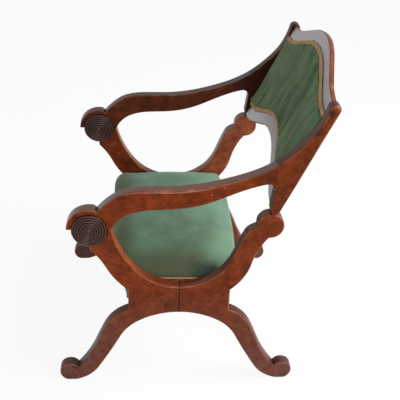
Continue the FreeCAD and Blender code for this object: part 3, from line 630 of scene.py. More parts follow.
def strap(bm, centre, ends, along, crossings, first_up):
    """Adds one woven strap to a bmesh: along is 0 or 1 for X or Y; it passes over and under at the crossings."""
    count = round((ends[1] - ends[0]) / STRAP_STEP)
    rows = []
    for step in range(count + 1):
        reach = ends[0] + (ends[1] - ends[0]) * step / count
        wave = 0.0
        for number, crossing in enumerate(crossings):
            away = abs(reach - crossing) / STRAP_BEND
            if away < 1:
                up = 1 if (number + first_up) % 2 == 0 else -1
                wave += up * (0.5 + 0.5 * math.cos(math.pi * away))
        row = []
        for offset, lift in STRAP_SECTION:
            place = Vector((0, 0, STRAP_Z + STRAP_RISE * wave + (lift - 0.5) * STRAP_THICK))
            place[along] = reach
            place[1 - along] = centre + offset * STRAP_HALF
            row.append(bm.verts.new(place))
        rows.append(row)
    for row, following in zip(rows, rows[1:]):
        for corner in range(len(row)):
            other = (corner + 1) % len(row)
            bm.faces.new((row[corner], row[other], following[other], following[corner]))
    bm.faces.new(rows[0])
    bm.faces.new(reversed(rows[-1]))


def closed_mesh(name, bm):
    """Mesh from a bmesh, with its faces outwards."""
    bmesh.ops.recalc_face_normals(bm, faces=bm.faces)
    mesh = bpy.data.meshes.new(name)
    bm.to_mesh(mesh)
    bm.free()
    return mesh


JUTE_LIGHT = (0.36, 0.26, 0.14, 1)
JUTE_DARK = (0.16, 0.105, 0.05, 1)
JUTE_STRIPE = (0.05, 0.035, 0.025, 1)


def jute(name, weave, light=JUTE_LIGHT, dark=JUTE_DARK, striped=False):
    """Coarse jute: two crossing sets of yarns, with dark stripes near the edges of the straps."""
    material, tree, shader, place = new_material(name)
    waves = [node(tree, "TexWave", bands_direction=direction, Vector=place, Scale=weave, Distortion=0.6, Detail=1.0,
                  Detail_Scale=40.0).outputs["Fac"] for direction in ("X", "Y")]
    yarn = maths(tree, "MULTIPLY", *waves)
    tone = maths(tree, "MULTIPLY_ADD", yarn, 0.7, noisy(tree, place, 90.0, Detail=3.0), clamp=True)
    colour = mixed(tree, tone, dark, light)
    if striped:
        colour = mixed(tree, attribute(tree, "stripe"), colour, JUTE_STRIPE)
    fill_all(tree, shader, Base_Color=colour, Roughness=0.9, Normal=relief(tree, yarn, 0.6, 0.0006))
    return material


for strap_name, centres, ends, along, crossings in (
        ("seat_webbing_long", LONG_STRAPS_X, LONG_ENDS_Y, 1, CROSS_STRAPS_Y),
        ("seat_webbing_cross", CROSS_STRAPS_Y, CROSS_ENDS_X, 0, LONG_STRAPS_X)):
    bm = bmesh.new()
    for number, centre in enumerate(centres):
        strap(bm, centre, ends, along, crossings, number + along)
    mesh = closed_mesh(strap_name, bm)
    nearest = [min(abs(corner.co[1 - along] - centre) for centre in centres) for corner in mesh.vertices]
    stripes = [1.0 if STRIPE[0] < reach / STRAP_HALF < STRIPE[1] else 0.0 for reach in nearest]
    mesh.attributes.new("stripe", "FLOAT", "POINT").data.foreach_set("value", stripes)
    webbing = placed(strap_name + "_straps", mesh)
    mesh.materials.append(jute(strap_name + "_jute", 900.0, striped=True))
    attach(webbing, "stand")
    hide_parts(strap_name)

BASE_CLOTH_Z = 0.2915
BASE_CLOTH_HALF = 0.265
BASE_CLOTH_FRONT_Y = -0.1574
BASE_CLOTH_REAR_Y = 0.1116
BASE_CLOTH_THICK = 0.0006
BASE_CLOTH_UNEVEN = 0.0003
BASE_CLOTH_COLUMNS = 60
BASE_CLOTH_ROWS = 34
REAR_BOW = 0.032


def sheet_piece(name, columns, rows, place):
    """Piece that is a grid of quads; place gives each point from its shares across and along."""
    points = [place(column / columns, row / rows) for row in range(rows + 1) for column in range(columns + 1)]
    faces = []
    for row in range(rows):
        for column in range(columns):
            first = row * (columns + 1) + column
            faces.append((first, first + 1, first + columns + 2, first + columns + 1))
    mesh = bpy.data.meshes.new(name)
    mesh.from_pydata(points, [], faces)
    mesh.shade_smooth()
    return placed(name, mesh)


def thickened(piece, thickness, offset):
    """Gives a sheet its thickness: offset 0 is on both sides, -1 behind."""
    solid = piece.modifiers.new("thickness", "SOLIDIFY")
    solid.thickness = thickness
    solid.offset = offset
    return finished(piece)


def base_cloth_place(across, along):
    """Point of the base cloth, which follows the bow of the rear rail."""
    x = BASE_CLOTH_HALF * (2 * across - 1)
    rear = BASE_CLOTH_REAR_Y - REAR_BOW * (x / INNER_FACE) ** 2
    y = BASE_CLOTH_FRONT_Y + (rear - BASE_CLOTH_FRONT_Y) * along
    return (x, y, BASE_CLOTH_Z + BASE_CLOTH_UNEVEN * noise.noise(Vector((x, y, 0)) * 60))


base_cloth = thickened(sheet_piece("seat_base_sheet", BASE_CLOTH_COLUMNS, BASE_CLOTH_ROWS, base_cloth_place),
                       BASE_CLOTH_THICK, 0)
base_cloth.data.materials.append(jute("base_cloth_jute", 700.0))
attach(base_cloth, "stand")
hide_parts("seat_base_cloth")

# Seat
# An overstuffed seat covered in green cotton velvet. The velvet is drawn over the horsehair, rolls out over the
# front rail and is tacked under it; the nap is crushed and browned where knees and clothes have rubbed it. On the
# near side the browning is partly painted shadow of the near arm; the near rear corner is painted shadow, and the
# front hem is painted paler as painted sheen.

PAD_HALF = 0.2655
PAD_LOW_Z = 0.292
PAD_CROWN = 0.050
PAD_EDGE = 0.012
PAD_ROLL = 0.025
PAD_ROLL_EDGE = 0.009
PAD_RAIL_FRONT_Y = -0.1606
PAD_FRONT_ROLL = 0.048
PAD_FRONT_DRAW = 0.034
PAD_REAR_DRAW = 0.004
PAD_REAR_Y = 0.1172
PAD_REAR_BOW = 0.0125
SKIRT_LOW_Z = 0.2325
SKIRT_THICK = 0.0052
PAD_SKIRT = [(-SKIRT_THICK, SKIRT_LOW_Z), (-SKIRT_THICK - 0.001, 0.25), (-0.011, 0.268)]
PAD_FRONT_LINE = [(0.012, -0.017), (0.002, -0.006), (0.0, 0.004)]
PAD_FRONT_RISE = [(0.25, 0.42), (0.8, 0.66)]
PAD_TOP = (0.2, 0.35, 0.5, 0.65)
PAD_REAR_FALL = [(2.0, 0.86), (1.1, 0.66), (0.35, 0.34), (0.0, 0.0)]
PAD_REAR_HEM = 0.002
PAD_TOP_LOW = 0.72
PAD_TOP_BULGE = 0.85
PAD_FULLNESS = 5
PAD_CORNERS = 8
PAD_COLUMNS = 92
PAD_RING = 78
PAD_FRONT_STEPS = 18
PAD_END_CROWDING = 0.35


def pad_chain(x):
    """Outer line of the seat at x, from the hem up over the roll and crown to the rear rail.

    The skirt is counted from the front of the rail, the roll from its foremost point, and what follows in shares of
    the rise from the roll to the crown.
    """
    share = abs(x) / PAD_HALF
    fullness = math.sqrt(max(0.0, 1 - share ** PAD_FULLNESS))
    crown = PAD_LOW_Z + PAD_EDGE + (PAD_CROWN - PAD_EDGE) * fullness
    roll = PAD_LOW_Z + PAD_ROLL_EDGE + (PAD_ROLL - PAD_ROLL_EDGE) * fullness
    front = PAD_RAIL_FRONT_Y - PAD_FRONT_ROLL + PAD_FRONT_DRAW * share ** PAD_CORNERS
    rear = PAD_REAR_Y - PAD_REAR_BOW * (x / INNER_FACE) ** 2 - PAD_REAR_DRAW * share ** PAD_CORNERS
    rise = crown - roll
    line = [(PAD_RAIL_FRONT_Y + y, z) for y, z in PAD_SKIRT]
    line += [(front + y, roll + z) for y, z in PAD_FRONT_LINE]
    line += [(front + rise * y, roll + rise * z) for y, z in PAD_FRONT_RISE]
    for part in PAD_TOP:
        bulge = 1 - (2 * part - 1) ** 2 * PAD_TOP_BULGE
        height = PAD_TOP_LOW + (1 - PAD_TOP_LOW) * bulge
        line.append((front + rise + (rear - front - 2 * rise) * part, roll + rise * height))
    line += [(rear - rise * y, roll + rise * z) for y, z in PAD_REAR_FALL]
    line.append((rear, PAD_LOW_Z + PAD_REAR_HEM))
    return [Vector((x, y, z)) for y, z in line]


def pad_mesh():
    """Closed mesh of the seat: outer velvet, its underside on the rails, and the sides."""
    bm = bmesh.new()
    outer, inner = [], []
    for column in range(PAD_COLUMNS + 1):
        across = 2 * column / PAD_COLUMNS - 1
        x = PAD_HALF * math.sin(math.pi / 2 * across) * PAD_END_CROWDING + PAD_HALF * across * (1 - PAD_END_CROWDING)
        over = spread_evenly(pad_chain(x), PAD_RING)
        hem = Vector((x, PAD_RAIL_FRONT_Y, SKIRT_LOW_Z))
        fold = Vector((x, PAD_RAIL_FRONT_Y, PAD_LOW_Z))
        rear = Vector((x, over[-1].y, PAD_LOW_Z))
        under = [hem.lerp(fold, step / PAD_FRONT_STEPS) for step in range(PAD_FRONT_STEPS + 1)]
        rest = PAD_RING - PAD_FRONT_STEPS
        under += [fold.lerp(rear, step / rest) for step in range(1, rest + 1)]
        outer.append([bm.verts.new(point) for point in over])
        inner.append([bm.verts.new(point) for point in under])
    for over, beyond, under, past in zip(outer, outer[1:], inner, inner[1:]):
        for step in range(PAD_RING):
            bm.faces.new((over[step], over[step + 1], beyond[step + 1], beyond[step]))
            bm.faces.new((under[step], past[step], past[step + 1], under[step + 1]))
        bm.faces.new((over[0], beyond[0], past[0], under[0]))
        bm.faces.new((over[-1], under[-1], past[-1], beyond[-1]))
    for step in range(PAD_RING):
        bm.faces.new((outer[0][step], inner[0][step], inner[0][step + 1], outer[0][step + 1]))
        bm.faces.new((outer[-1][step], outer[-1][step + 1], inner[-1][step + 1], inner[-1][step]))
    return closed_mesh("seat_velvet", bm)


SWELL_FRAMES = 20
SWELL_PRESSURE = 4.0
SWELL_LIMIT = 0.007
SWELL_EVENING = 24


def swell(piece, held):
    """Fills a closed cover by a short cloth simulation under pressure, held at the places where it is tacked.

    No point moves further than the limit, and the moves are evened out, as stuffing smooths a cover.
    """
    start = [corner.co.copy() for corner in piece.data.vertices]
    cloth = piece.modifiers.new("filling", "CLOTH")
    cloth.settings.quality = 5
    cloth.settings.use_pressure = True
    cloth.settings.uniform_pressure_force = SWELL_PRESSURE
    cloth.settings.effector_weights.gravity = 0.0
    cloth.settings.tension_stiffness = 20.0
    cloth.settings.compression_stiffness = 20.0
    cloth.settings.bending_stiffness = 1.5
    cloth.settings.vertex_group_mass = held
    cloth.collision_settings.use_collision = False
    cloth.point_cache.frame_start = 1
    cloth.point_cache.frame_end = SWELL_FRAMES
    for moment in range(1, SWELL_FRAMES + 1):
        bpy.context.scene.frame_set(moment)
    finished(piece)
    bpy.context.scene.frame_set(1)
    moves = []
    for corner, place in zip(piece.data.vertices, start):
        moved = corner.co - place
        moves.append(moved * min(1.0, SWELL_LIMIT / max(moved.length, LEAST)))
    pairs = [edge.vertices[:] for edge in piece.data.edges]
    for turn in range(SWELL_EVENING):
        sums = [move.copy() for move in moves]
        counts = [1] * len(moves)
        for first, second in pairs:
            sums[first] += moves[second]
            sums[second] += moves[first]
            counts[first] += 1
            counts[second] += 1
        moves = [total / count for total, count in zip(sums, counts)]
    for corner, place, move in zip(piece.data.vertices, start, moves):
        corner.co = place + move


TACKED_ABOVE = 0.004
TACKED_FADE = 0.012
LUMPS_ABOVE = 0.006
LUMPS = [(11, 0.0016), (27, 0.0006)]

seat = placed("seat_velvet", pad_mesh())
held = seat.vertex_groups.new(name="tacked")
for corner in seat.data.vertices:
    above = corner.co.z - PAD_LOW_Z - TACKED_ABOVE
    held.add([corner.index], max(0.0, min(1.0, 1 - above / TACKED_FADE)), "REPLACE")
swell(seat, "tacked")
for corner in seat.data.vertices:
    if corner.co.z > PAD_LOW_Z + LUMPS_ABOVE:
        corner.co.z += sum(noise.noise(corner.co * scale) * height for scale, height in LUMPS)
    corner.co.x = max(-PAD_HALF, min(PAD_HALF, corner.co.x))
finer = seat.modifiers.new("finer", "SUBSURF")
finer.levels = 1
finer.render_levels = 1
finished(seat)
seat.data.shade_smooth()


def velvet(name, light, deep, browned, nap_scale, sheen, zones=()):
    """Cotton velvet: a short dense pile with a soft sheen, crushed in patches and browned where it is rubbed.

    Zones are places of browned nap, painted shadow and painted sheen: a colour, and its ranges (axis, none from,
    full from). A mesh attribute darkens the bottoms of folds as painted shade.
    """
    material, tree, shader, place = new_material(name)
    crushed = noisy(tree, place, 14.0, Detail=4.0, Roughness=0.6, Distortion=0.5)
    pile = noisy(tree, place, nap_scale, Detail=2.0, Roughness=0.6)
    worn = noisy(tree, place, 7.0, Detail=3.0, Roughness=0.55)
    colour = mixed(tree, ramp(tree, crushed, (0.34, 0), (0.68, 1)), light, deep)
    worn_share = maths(tree, "MULTIPLY", ramp(tree, worn, (0.5, 0), (0.74, 1)), 0.6)
    colour = mixed(tree, worn_share, colour, browned)
    along = node(tree, "SeparateXYZ", Vector=place).outputs
    uneven = mapped(tree, worn, 0.75, 1.1, 0.3, 0.7)
    for zone_colour, ranges in zones:
        share = uneven
        for axis, none_from, full_from in ranges:
            rising = mapped(tree, along[axis], 0.0, 1.0, none_from, full_from, interpolation_type="SMOOTHSTEP")
            share = maths(tree, "MULTIPLY", share, rising)
        colour = mixed(tree, share, colour, zone_colour)
    # Painted shade: the colour is darkened in the bottoms of folds.
    fold_shade = maths(tree, "MULTIPLY", attribute(tree, "fold_shade"), 0.85)
    colour = mixed(tree, fold_shade, colour, darkened(deep, 0.3))
    colour = mixed(tree, 1.0, colour, ramp(tree, pile, (0.3, 0.72), (0.7, 1.12)), "MULTIPLY")
    fill_all(tree, shader, Base_Color=colour, Roughness=0.85, Specular_IOR_Level=0.2, Sheen_Weight=sheen,
             Sheen_Roughness=0.4, Sheen_Tint=(0.62, 0.85, 0.7, 1), Normal=relief(tree, pile, 0.35, 0.0008))
    return material


SEAT_LIGHT = (0.18, 0.315, 0.205, 1)
SEAT_DEEP = (0.145, 0.255, 0.165, 1)
# Browned nap; in the first zone the same colour also darkens the near side of the seat as painted shadow of the near
# arm.
SEAT_BROWNED_AND_SHADED = (0.088, 0.094, 0.046, 1)
# Painted shadow: the near rear corner of the seat, beside the rear support, is darkened nearly to black-green.
SEAT_PAINTED_SHADOW = (0.03, 0.042, 0.03, 1)
# Painted sheen: the front hem below the roll is painted paler, where velvet catches light at a grazing angle.
SEAT_PAINTED_SHEEN = (0.24, 0.33, 0.25, 1)
SEAT_WEAR_AND_PAINTED_LIGHT_ZONES = [(SEAT_BROWNED_AND_SHADED, [(0, 0.15, 0.25), (1, 0.075, 0.0)]),
                   (SEAT_BROWNED_AND_SHADED, [(1, -0.12, -0.18), (2, 0.285, 0.305)]),
                   (SEAT_PAINTED_SHEEN, [(1, -0.156, -0.163), (2, 0.282, 0.268)]),
                   (SEAT_PAINTED_SHADOW, [(0, 0.228, 0.256), (1, -0.03, 0.03), (1, 0.07, 0.048)])]

seat.data.materials.append(
    velvet("seat_green_velvet", SEAT_LIGHT, SEAT_DEEP, SEAT_BROWNED_AND_SHADED, 420.0, 0.5, SEAT_WEAR_AND_PAINTED_LIGHT_ZONES))
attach(seat, "stand")
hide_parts("seat_pad")

# Pivot pins
# A steel pin, pressed into each arm, turns in the tongue of the front support. The roundels hide its ends.

pin_steel, pin_tree, pin_shader, pin_place = new_material("pin_steel")
drawn = noisy(pin_tree, pin_place, 300.0, Detail=2.0)
fill_all(pin_tree, pin_shader, Base_Color=ramp(pin_tree, drawn, (0.3, 0.3), (0.7, 0.5)), Metallic=1.0, Roughness=0.4)
for pin in ("left_pivot_pin", "right_pivot_pin"):
    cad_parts[pin].data.materials.clear()
    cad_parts[pin].data.materials.append(pin_steel)

# Arms and stiles
# Shaped boards of the same mahogany, of a warmer cut. Each arm ends in front in a hooded round knuckle with a slot
# for the tongue of the support, and is tenoned into the raked stile behind.

ARM_ROUND = 0.008
# The far (right) arm and stile get much darker wood colours than the near ones: painted shade on the far side.
ARM_LIGHT = {
    "left_arm": (0.25, 0.045, 0.009, 1), "left_stile": (0.22, 0.044, 0.012, 1),
    "right_arm": (0.115, 0.028, 0.012, 1), "right_stile": (0.055, 0.017, 0.009, 1)}
ARM_DARK = (0.045, 0.011, 0.006, 1)
ARM_RUBBED = (0.40, 0.12, 0.045, 1)
ARM_JOINTS = [(1, ARM_JOINT_Y, 0.0)]
ARM_SEAMS = {"arm": [(1, ARM_JOINT_Y, 0.0009, 0.9)], "stile": []}
ARM_GRAIN = {"arm": 12, "stile": 62}
# Painted shade: the rims of the arms and stiles are darkened to under half of the wood colour.
ARM_RIM_PAINTED_SHADE = (0.45, 0.43, 0.45, 1)
ARM_RIM_SHINE = {"left_arm": 0.85, "left_stile": 0.28, "right_arm": 0.4, "right_stile": 0.2}
CHIP = (0.36, 0.13, 0.05, 1)
SMUDGE_AND_SHADE = (0.02, 0.011, 0.009, 1)
ARM_MARKS = {
    # The right arm's broad dark patch towards the back panel is painted shade; the marks on the left arm and stile are
    # smudges.
    "right_arm": [((-0.268, 0.20, 0.61), 0.10, SMUDGE_AND_SHADE, 0.7)],
    "left_arm": [((0.3, 0.165, 0.605), 0.05, SMUDGE_AND_SHADE, 0.3), ((0.3, -0.185, 0.515), 0.05, SMUDGE_AND_SHADE, 0.25),
                 ((0.3, 0.0597, 0.5676), 0.0035, CHIP, 0.7), ((0.3, 0.0307, 0.549), 0.0038, CHIP, 0.65)],
    "left_stile": [((0.3, 0.285, 0.755), 0.010, SMUDGE_AND_SHADE, 0.7), ((0.3, 0.262, 0.705), 0.008, SMUDGE_AND_SHADE, 0.6),
                   ((0.3, 0.300, 0.770), 0.009, CHIP, 0.5)]}

for side in ("left", "right"):
    for part, lean in ARM_GRAIN.items():
        board_name = side + "_" + part
        board = rounded(board_name, board_name + "_board", ARM_ROUND, ARM_JOINTS, filled=part == "stile")
        rim = (ARM_RIM_PAINTED_SHADE, ARM_RIM_PAINTED_SHADE, ARM_RIM_SHINE[board_name])
        wood = polished_wood(board_name + "_mahogany", lean, ARM_LIGHT[board_name], ARM_DARK, ARM_RUBBED,
                             ARM_SEAMS[part], ARM_MARKS.get(board_name, ()), rim)
        board.data.materials.append(wood)
        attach(board, "arms_and_back")
        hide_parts(board_name)

# Roundels
# Turned bosses of dark wood with six rounded rings and a button, glued over the pivots on both faces of each arm.

ROUNDEL_FACES = [(BOARD_FACES[1], 1), (BOARD_FACES[0], -1), (-BOARD_FACES[1], -1), (-BOARD_FACES[0], 1)]
ROUNDEL_RADIUS = 0.042
ROUNDEL_RIM = 0.005
ROUNDEL_RISE = 0.003
ROUNDEL_RINGS = 6
RING_DEPTH = 0.0032
BUTTON_RADIUS = 0.005
BUTTON_RISE = 0.003
RING_PITCH = (ROUNDEL_RADIUS - BUTTON_RADIUS) / ROUNDEL_RINGS
RING_STEPS = 8
ROUNDEL_TURNS = 96
ROUNDEL_SHARP = math.radians(50)
ROUNDEL_LIGHT = (0.072, 0.021, 0.012, 1)
ROUNDEL_DARK = (0.03, 0.009, 0.006, 1)
ROUNDEL_GROOVE_DARK = (0.006, 0.004, 0.003, 1)
ROUNDEL_DUST = (0.02, 0.011, 0.009, 1)


def roundel_profile():
    """Radius and height from the rim to the middle of the button."""
    line = [(ROUNDEL_RADIUS, 0.0)]
    for ring in range(ROUNDEL_RINGS):
        outer = ROUNDEL_RADIUS - ring * RING_PITCH
        crest_height = ROUNDEL_RIM + ROUNDEL_RISE * (ring + 0.5) / ROUNDEL_RINGS
        for step in range(RING_STEPS):
            share = step / RING_STEPS
            bow = math.sqrt(max(0.0, 1 - (2 * share - 1) ** 2))
            line.append((outer - RING_PITCH * share, crest_height - RING_DEPTH * (1 - bow)))
    floor = ROUNDEL_RIM + ROUNDEL_RISE - RING_DEPTH
    for step in range(RING_STEPS + 1):
        turn = math.pi / 2 * step / RING_STEPS
        line.append((BUTTON_RADIUS * math.cos(turn), floor + BUTTON_RISE * math.sin(turn)))
    return line


def ring_corners(bm, x, radius):
    """Corners of one circle about the pivot, or its middle alone."""
    if radius < TINY:
        return [bm.verts.new((x, PIVOT_Y, PIVOT_Z))]
    turns = [2 * math.pi * turn / ROUNDEL_TURNS for turn in range(ROUNDEL_TURNS)]
    places = [(x, PIVOT_Y + radius * math.cos(turn), PIVOT_Z + radius * math.sin(turn)) for turn in turns]
    return [bm.verts.new(place) for place in places]


def groove_depth(corner):
    """1 in the bottom of a groove between the rings, 0 on their crests and on the button."""
    radius = math.hypot(corner.co.y - PIVOT_Y, corner.co.z - PIVOT_Z)
    share = ((ROUNDEL_RADIUS - radius) / RING_PITCH) % 1.0
    return abs(2 * share - 1) ** 1.5 if radius > BUTTON_RADIUS else 0.0


def turned_wood(name):
    """Dark turned wood, waxed, darkened nearly to black in the grooves, with dust left in them."""
    material, tree, shader, place = new_material(name)
    turn = node(tree, "Mapping", Vector=place, Rotation=(math.radians(-75), 0, 0))
    grain = node(tree, "Group", node_tree=LONG_GRAIN, Place=turn.outputs[0], Light=ROUNDEL_LIGHT, Dark=ROUNDEL_DARK)
    groove = attribute(tree, "groove")
    dusty = maths(tree, "MULTIPLY", groove, noisy(tree, place, 120.0, Detail=3.0))
    groove_darkened = mixed(tree, groove, grain.outputs["Color"], ROUNDEL_GROOVE_DARK)
    fill_all(tree, shader, Base_Color=mixed(tree, dusty, groove_darkened, ROUNDEL_DUST),
             Roughness=mapped(tree, dusty, 0.32, 0.7), Coat_Weight=mapped(tree, groove, 1.0, 0.0),
             Specular_IOR_Level=0.0, Coat_Roughness=0.15)
    return material


bm = bmesh.new()
for face_x, out in ROUNDEL_FACES:
    rings = [ring_corners(bm, face_x + out * height, radius) for radius, height in roundel_profile()]
    for ring, following in zip(rings, rings[1:]):
        for turn in range(ROUNDEL_TURNS):
            after = (turn + 1) % ROUNDEL_TURNS
            beyond = following if len(following) == 1 else (following[after], following[turn])
            bm.faces.new((ring[turn], ring[after], *beyond))
    bm.faces.new(rings[0])
mesh = closed_mesh("turned_roundels", bm)
mesh.shade_smooth()
mesh.set_sharp_from_angle(angle=ROUNDEL_SHARP)
depths = [groove_depth(corner) for corner in mesh.vertices]
mesh.attributes.new("groove", "FLOAT", "POINT").data.foreach_set("value", depths)
mesh.materials.append(turned_wood("roundel_wood"))
roundels = placed("turned_roundels", mesh)
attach(roundels, "arms_and_back")
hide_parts("outer_roundels", "inner_roundels")

# Back panel
# A mahogany board with a serpentine top and bottom edge, its ends held in grooves in the stiles. Its rear face is the
# desk when the back is swung over. The polish is thick and shines grey where it is seen at a low angle.

BACK_LEAN = math.radians(65.4935)
BACK_CORNER = Vector((0, 0.306362, 0.765246))
BACK_UP = Vector((0, math.cos(BACK_LEAN), math.sin(BACK_LEAN)))
BACK_OUT = Vector((0, -math.sin(BACK_LEAN), math.cos(BACK_LEAN)))
PANEL_THICK = 0.014
PANEL_HEIGHT = 0.293
PANEL_ROUND = 0.003
PANEL_LIGHT = (0.15, 0.045, 0.024, 1)
PANEL_EDGE = (0.21, 0.064, 0.027, 1)
PANEL_RIM = ((1, 1, 1, 1), (1, 1, 1, 1), 0.08)
DESK_LIGHT = (0.25, 0.06, 0.022, 1)
EDGE_FACE, DESK_FACE = 1, 2

panel = rounded("back_panel", "back_panel_board", PANEL_ROUND)
panel.data.materials.append(polished_wood("back_panel_polish", None, PANEL_LIGHT, ARM_DARK, ARM_RUBBED, coat=1.0))
panel.data.materials.append(polished_wood("back_panel_edge", None, PANEL_EDGE, ARM_DARK, ARM_RUBBED, rim=PANEL_RIM))
panel.data.materials.append(polished_wood("back_panel_desk", None, DESK_LIGHT, ARM_DARK, ARM_RUBBED, coat=0.25))
for face in panel.data.polygons:
    facing = face.normal.dot(BACK_OUT)
    if facing < FACE_TILT:
        face.material_index = DESK_FACE if facing < -FACE_TILT else EDGE_FACE
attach(panel, "arms_and_back")
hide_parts("back_panel")

# Back cloth
# Thin green velvet, gathered at its upper and lower edges and tacked to the panel under the braid, so that it hangs
# in many uneven folds, darkened at their bottoms as painted shade. A torn strip of lining shows under each edge;
# its near-black colour is partly its own and partly painted shadow along the braid.

CREST_RISE = 0.070
CLOTH_HALF = 0.2674
CLOTH_MARGIN = 0.0445
CLOTH_THICK = 0.0008
CLOTH_COLUMNS = 420
CLOTH_ROWS = 64
CLOTH_OFF = 0.0016
FOLD_RISE = 0.0095
GATHER_REACH = 0.16
HEM_REACH = 0.02
END_TUCK = 0.014
FOLD_SHADE_BELOW = 0.007
CLOTH_LIGHT = (0.16, 0.235, 0.12, 1)
CLOTH_DEEP = (0.1, 0.155, 0.073, 1)
CLOTH_BROWNED = (0.155, 0.16, 0.08, 1)


def crest(x):
    """Height of the serpentine edges above their ends: arcs at the crest and the ends, straight lines between."""
    x = min(abs(x), INNER_FACE)
    slope = math.atan(math.pi / 2 * CREST_RISE / INNER_FACE)
    bend = (INNER_FACE * math.tan(slope) - CREST_RISE) / 2 / (math.tan(slope) - math.tan(slope / 2))
    radius = bend / math.sin(slope)
    if x < bend:
        return CREST_RISE - radius + math.sqrt(radius ** 2 - x ** 2)
    if x > INNER_FACE - bend:
        return radius - math.sqrt(radius ** 2 - (INNER_FACE - x) ** 2)
    return CREST_RISE - bend * math.tan(slope / 2) - (x - bend) * math.tan(slope)


def on_back(x, up, off):
    """Point on the leaning front of the panel: up is counted from its top corners, off is out from its face."""
    return Vector((x, 0, 0)) + BACK_CORNER + BACK_UP * up + BACK_OUT * (PANEL_THICK + off)


def wander(x, along, seed):
    """Smooth noise over the cloth, from -1 to 1."""
    return noise.noise(Vector((x, along, seed)))


def fold(x, along):
    """How far the gathered cloth stands off the panel at x and at a share of its height."""
    edge = min(along, 1 - along)
    gather = math.exp(-edge / GATHER_REACH)
    drift = 0.03 * wander(x * 5, along * 1.6, 3.1) + 0.006 * wander(x * 16, along * 4, 8.4)
    lean = 0.03 * (along - 0.5) * x / CLOTH_HALF
    place = x + drift + lean
    ridge = 1 - math.sqrt(wander(place * 15, along * 0.8, 0.0) ** 2 + 0.015) * 1.9
    crease = 1 - math.sqrt(wander(place * 36, along * 1.5, 9.0) ** 2 + 0.006) * 2.6
    fading = 0.75 + 0.7 * wander(place * 8, along * 1.7, 12.0)
    height = 0.75 * ridge * fading + 0.12 * wander(place * 38, along * 1.6, 5.0) + 0.6 * gather * crease
    strength = 0.8 + 0.45 * (abs(x) / CLOTH_HALF) ** 2
    hem = min(1.0, edge / HEM_REACH)
    tuck = min(1.0, (CLOTH_HALF - abs(x)) / END_TUCK)
    return CLOTH_OFF + FOLD_RISE * strength * max(-0.12, height + 0.2) * (0.38 + 0.62 * hem) * tuck * (2 - tuck)


def back_cloth_place(across, along):
    """Point of the gathered cloth, between the two lines of braid."""
    x = CLOTH_HALF * (2 * across - 1)
    low = -PANEL_HEIGHT + CLOTH_MARGIN + crest(x)
    high = -CLOTH_MARGIN + crest(x)
    return on_back(x, low + (high - low) * along, fold(x, along))


back_cloth = sheet_piece("back_cloth_folds", CLOTH_COLUMNS, CLOTH_ROWS, back_cloth_place)
# Where the cloth sinks close to the panel its colour is darkened: painted shade in the bottoms of the folds.
heights = [(point.co - BACK_CORNER).dot(BACK_OUT) - PANEL_THICK for point in back_cloth.data.vertices]
fold_shades = [min(1.0, max(0.0, (FOLD_SHADE_BELOW - height) / FOLD_SHADE_BELOW)) for height in heights]
back_cloth.data.attributes.new("fold_shade", "FLOAT", "POINT").data.foreach_set("value", fold_shades)
back_cloth.data.materials.append(
    velvet("back_green_velvet", CLOTH_LIGHT, CLOTH_DEEP, CLOTH_BROWNED, 520.0, 0.15))
thickened(back_cloth, CLOTH_THICK, -1)
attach(back_cloth, "arms_and_back")
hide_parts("back_cloth")

BRAID_MARGIN = 0.040
BRAID_STEPS = 120
BRAID_SHORT = 0.0028
BRAID_REACH = INNER_FACE - BRAID_SHORT
BRAID_LINES = {"upper": (-BRAID_MARGIN, 1), "lower": (BRAID_MARGIN - PANEL_HEIGHT, -1)}
TAPE_HALF = 0.0056
LINING_HIDDEN = 0.002
LINING_SHOWS = 0.003
LINING_THICK = 0.0003
LINING_OFF = 0.0005
# The lining's near-black colours are partly its own and partly painted shadow along the braid.
LINING_LIGHT = (0.07, 0.055, 0.05, 1)
LINING_DARK = (0.03, 0.023, 0.02, 1)


def strip(name, columns, up, beside, off):
    """Sheet along a line of braid; beside gives how far up from the line a point is, from x and its share along."""

    def place(across, along):
        x = BRAID_REACH * (2 * across - 1)
        return on_back(x, up + crest(x) + beside(x, along), off)

    return sheet_piece(name, columns, 2, place)


torn_lining = jute("torn_lining", 800.0, LINING_LIGHT, LINING_DARK)
for edge_name, (up, outwards) in BRAID_LINES.items():

    def torn(x, along):
        uneven = 0.45 + 0.9 * wander(x * 60, up, 0) + 0.5 * wander(x * 210, up, 4)
        shows = LINING_HIDDEN + LINING_SHOWS * max(0.0, uneven)
        return outwards * (TAPE_HALF - LINING_HIDDEN + shows * along)

    lining = thickened(strip(edge_name + "_lining", 4 * BRAID_STEPS, up, torn, LINING_OFF), LINING_THICK, 0)
    lining.data.materials.append(torn_lining)
    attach(lining, "arms_and_back")

# Braid
# Flat plaits of gold thread cover the tacks: one along each serpentine edge of the back cloth, and a narrow one along
# each side of the seat.

BRAID_STRANDS = 5
THREAD_SIDES = 6
PLAIT_STEPS = 18
TAPE_THICK = 0.0008
TAPE_OFF = 0.0013
PLAIT_OFF = 0.0025
BACK_PLAIT = {"Half Width": 0.0047, "Rise": 0.0006, "Plait Length": 0.021, "Strand Radius": 0.00125}
SEAT_PLAIT = {"Half Width": 0.0017, "Rise": 0.0003, "Plait Length": 0.010, "Strand Radius": 0.0006}
SEAT_BRAID_X = 0.2668
SEAT_BRAID_Z = 0.2946
SEAT_BRAID_HALF = 0.105
SEAT_BRAID_STEPS = 40
GOLD = (0.66, 0.43, 0.18, 1)
FADED_GOLD = (0.5, 0.3, 0.115, 1)


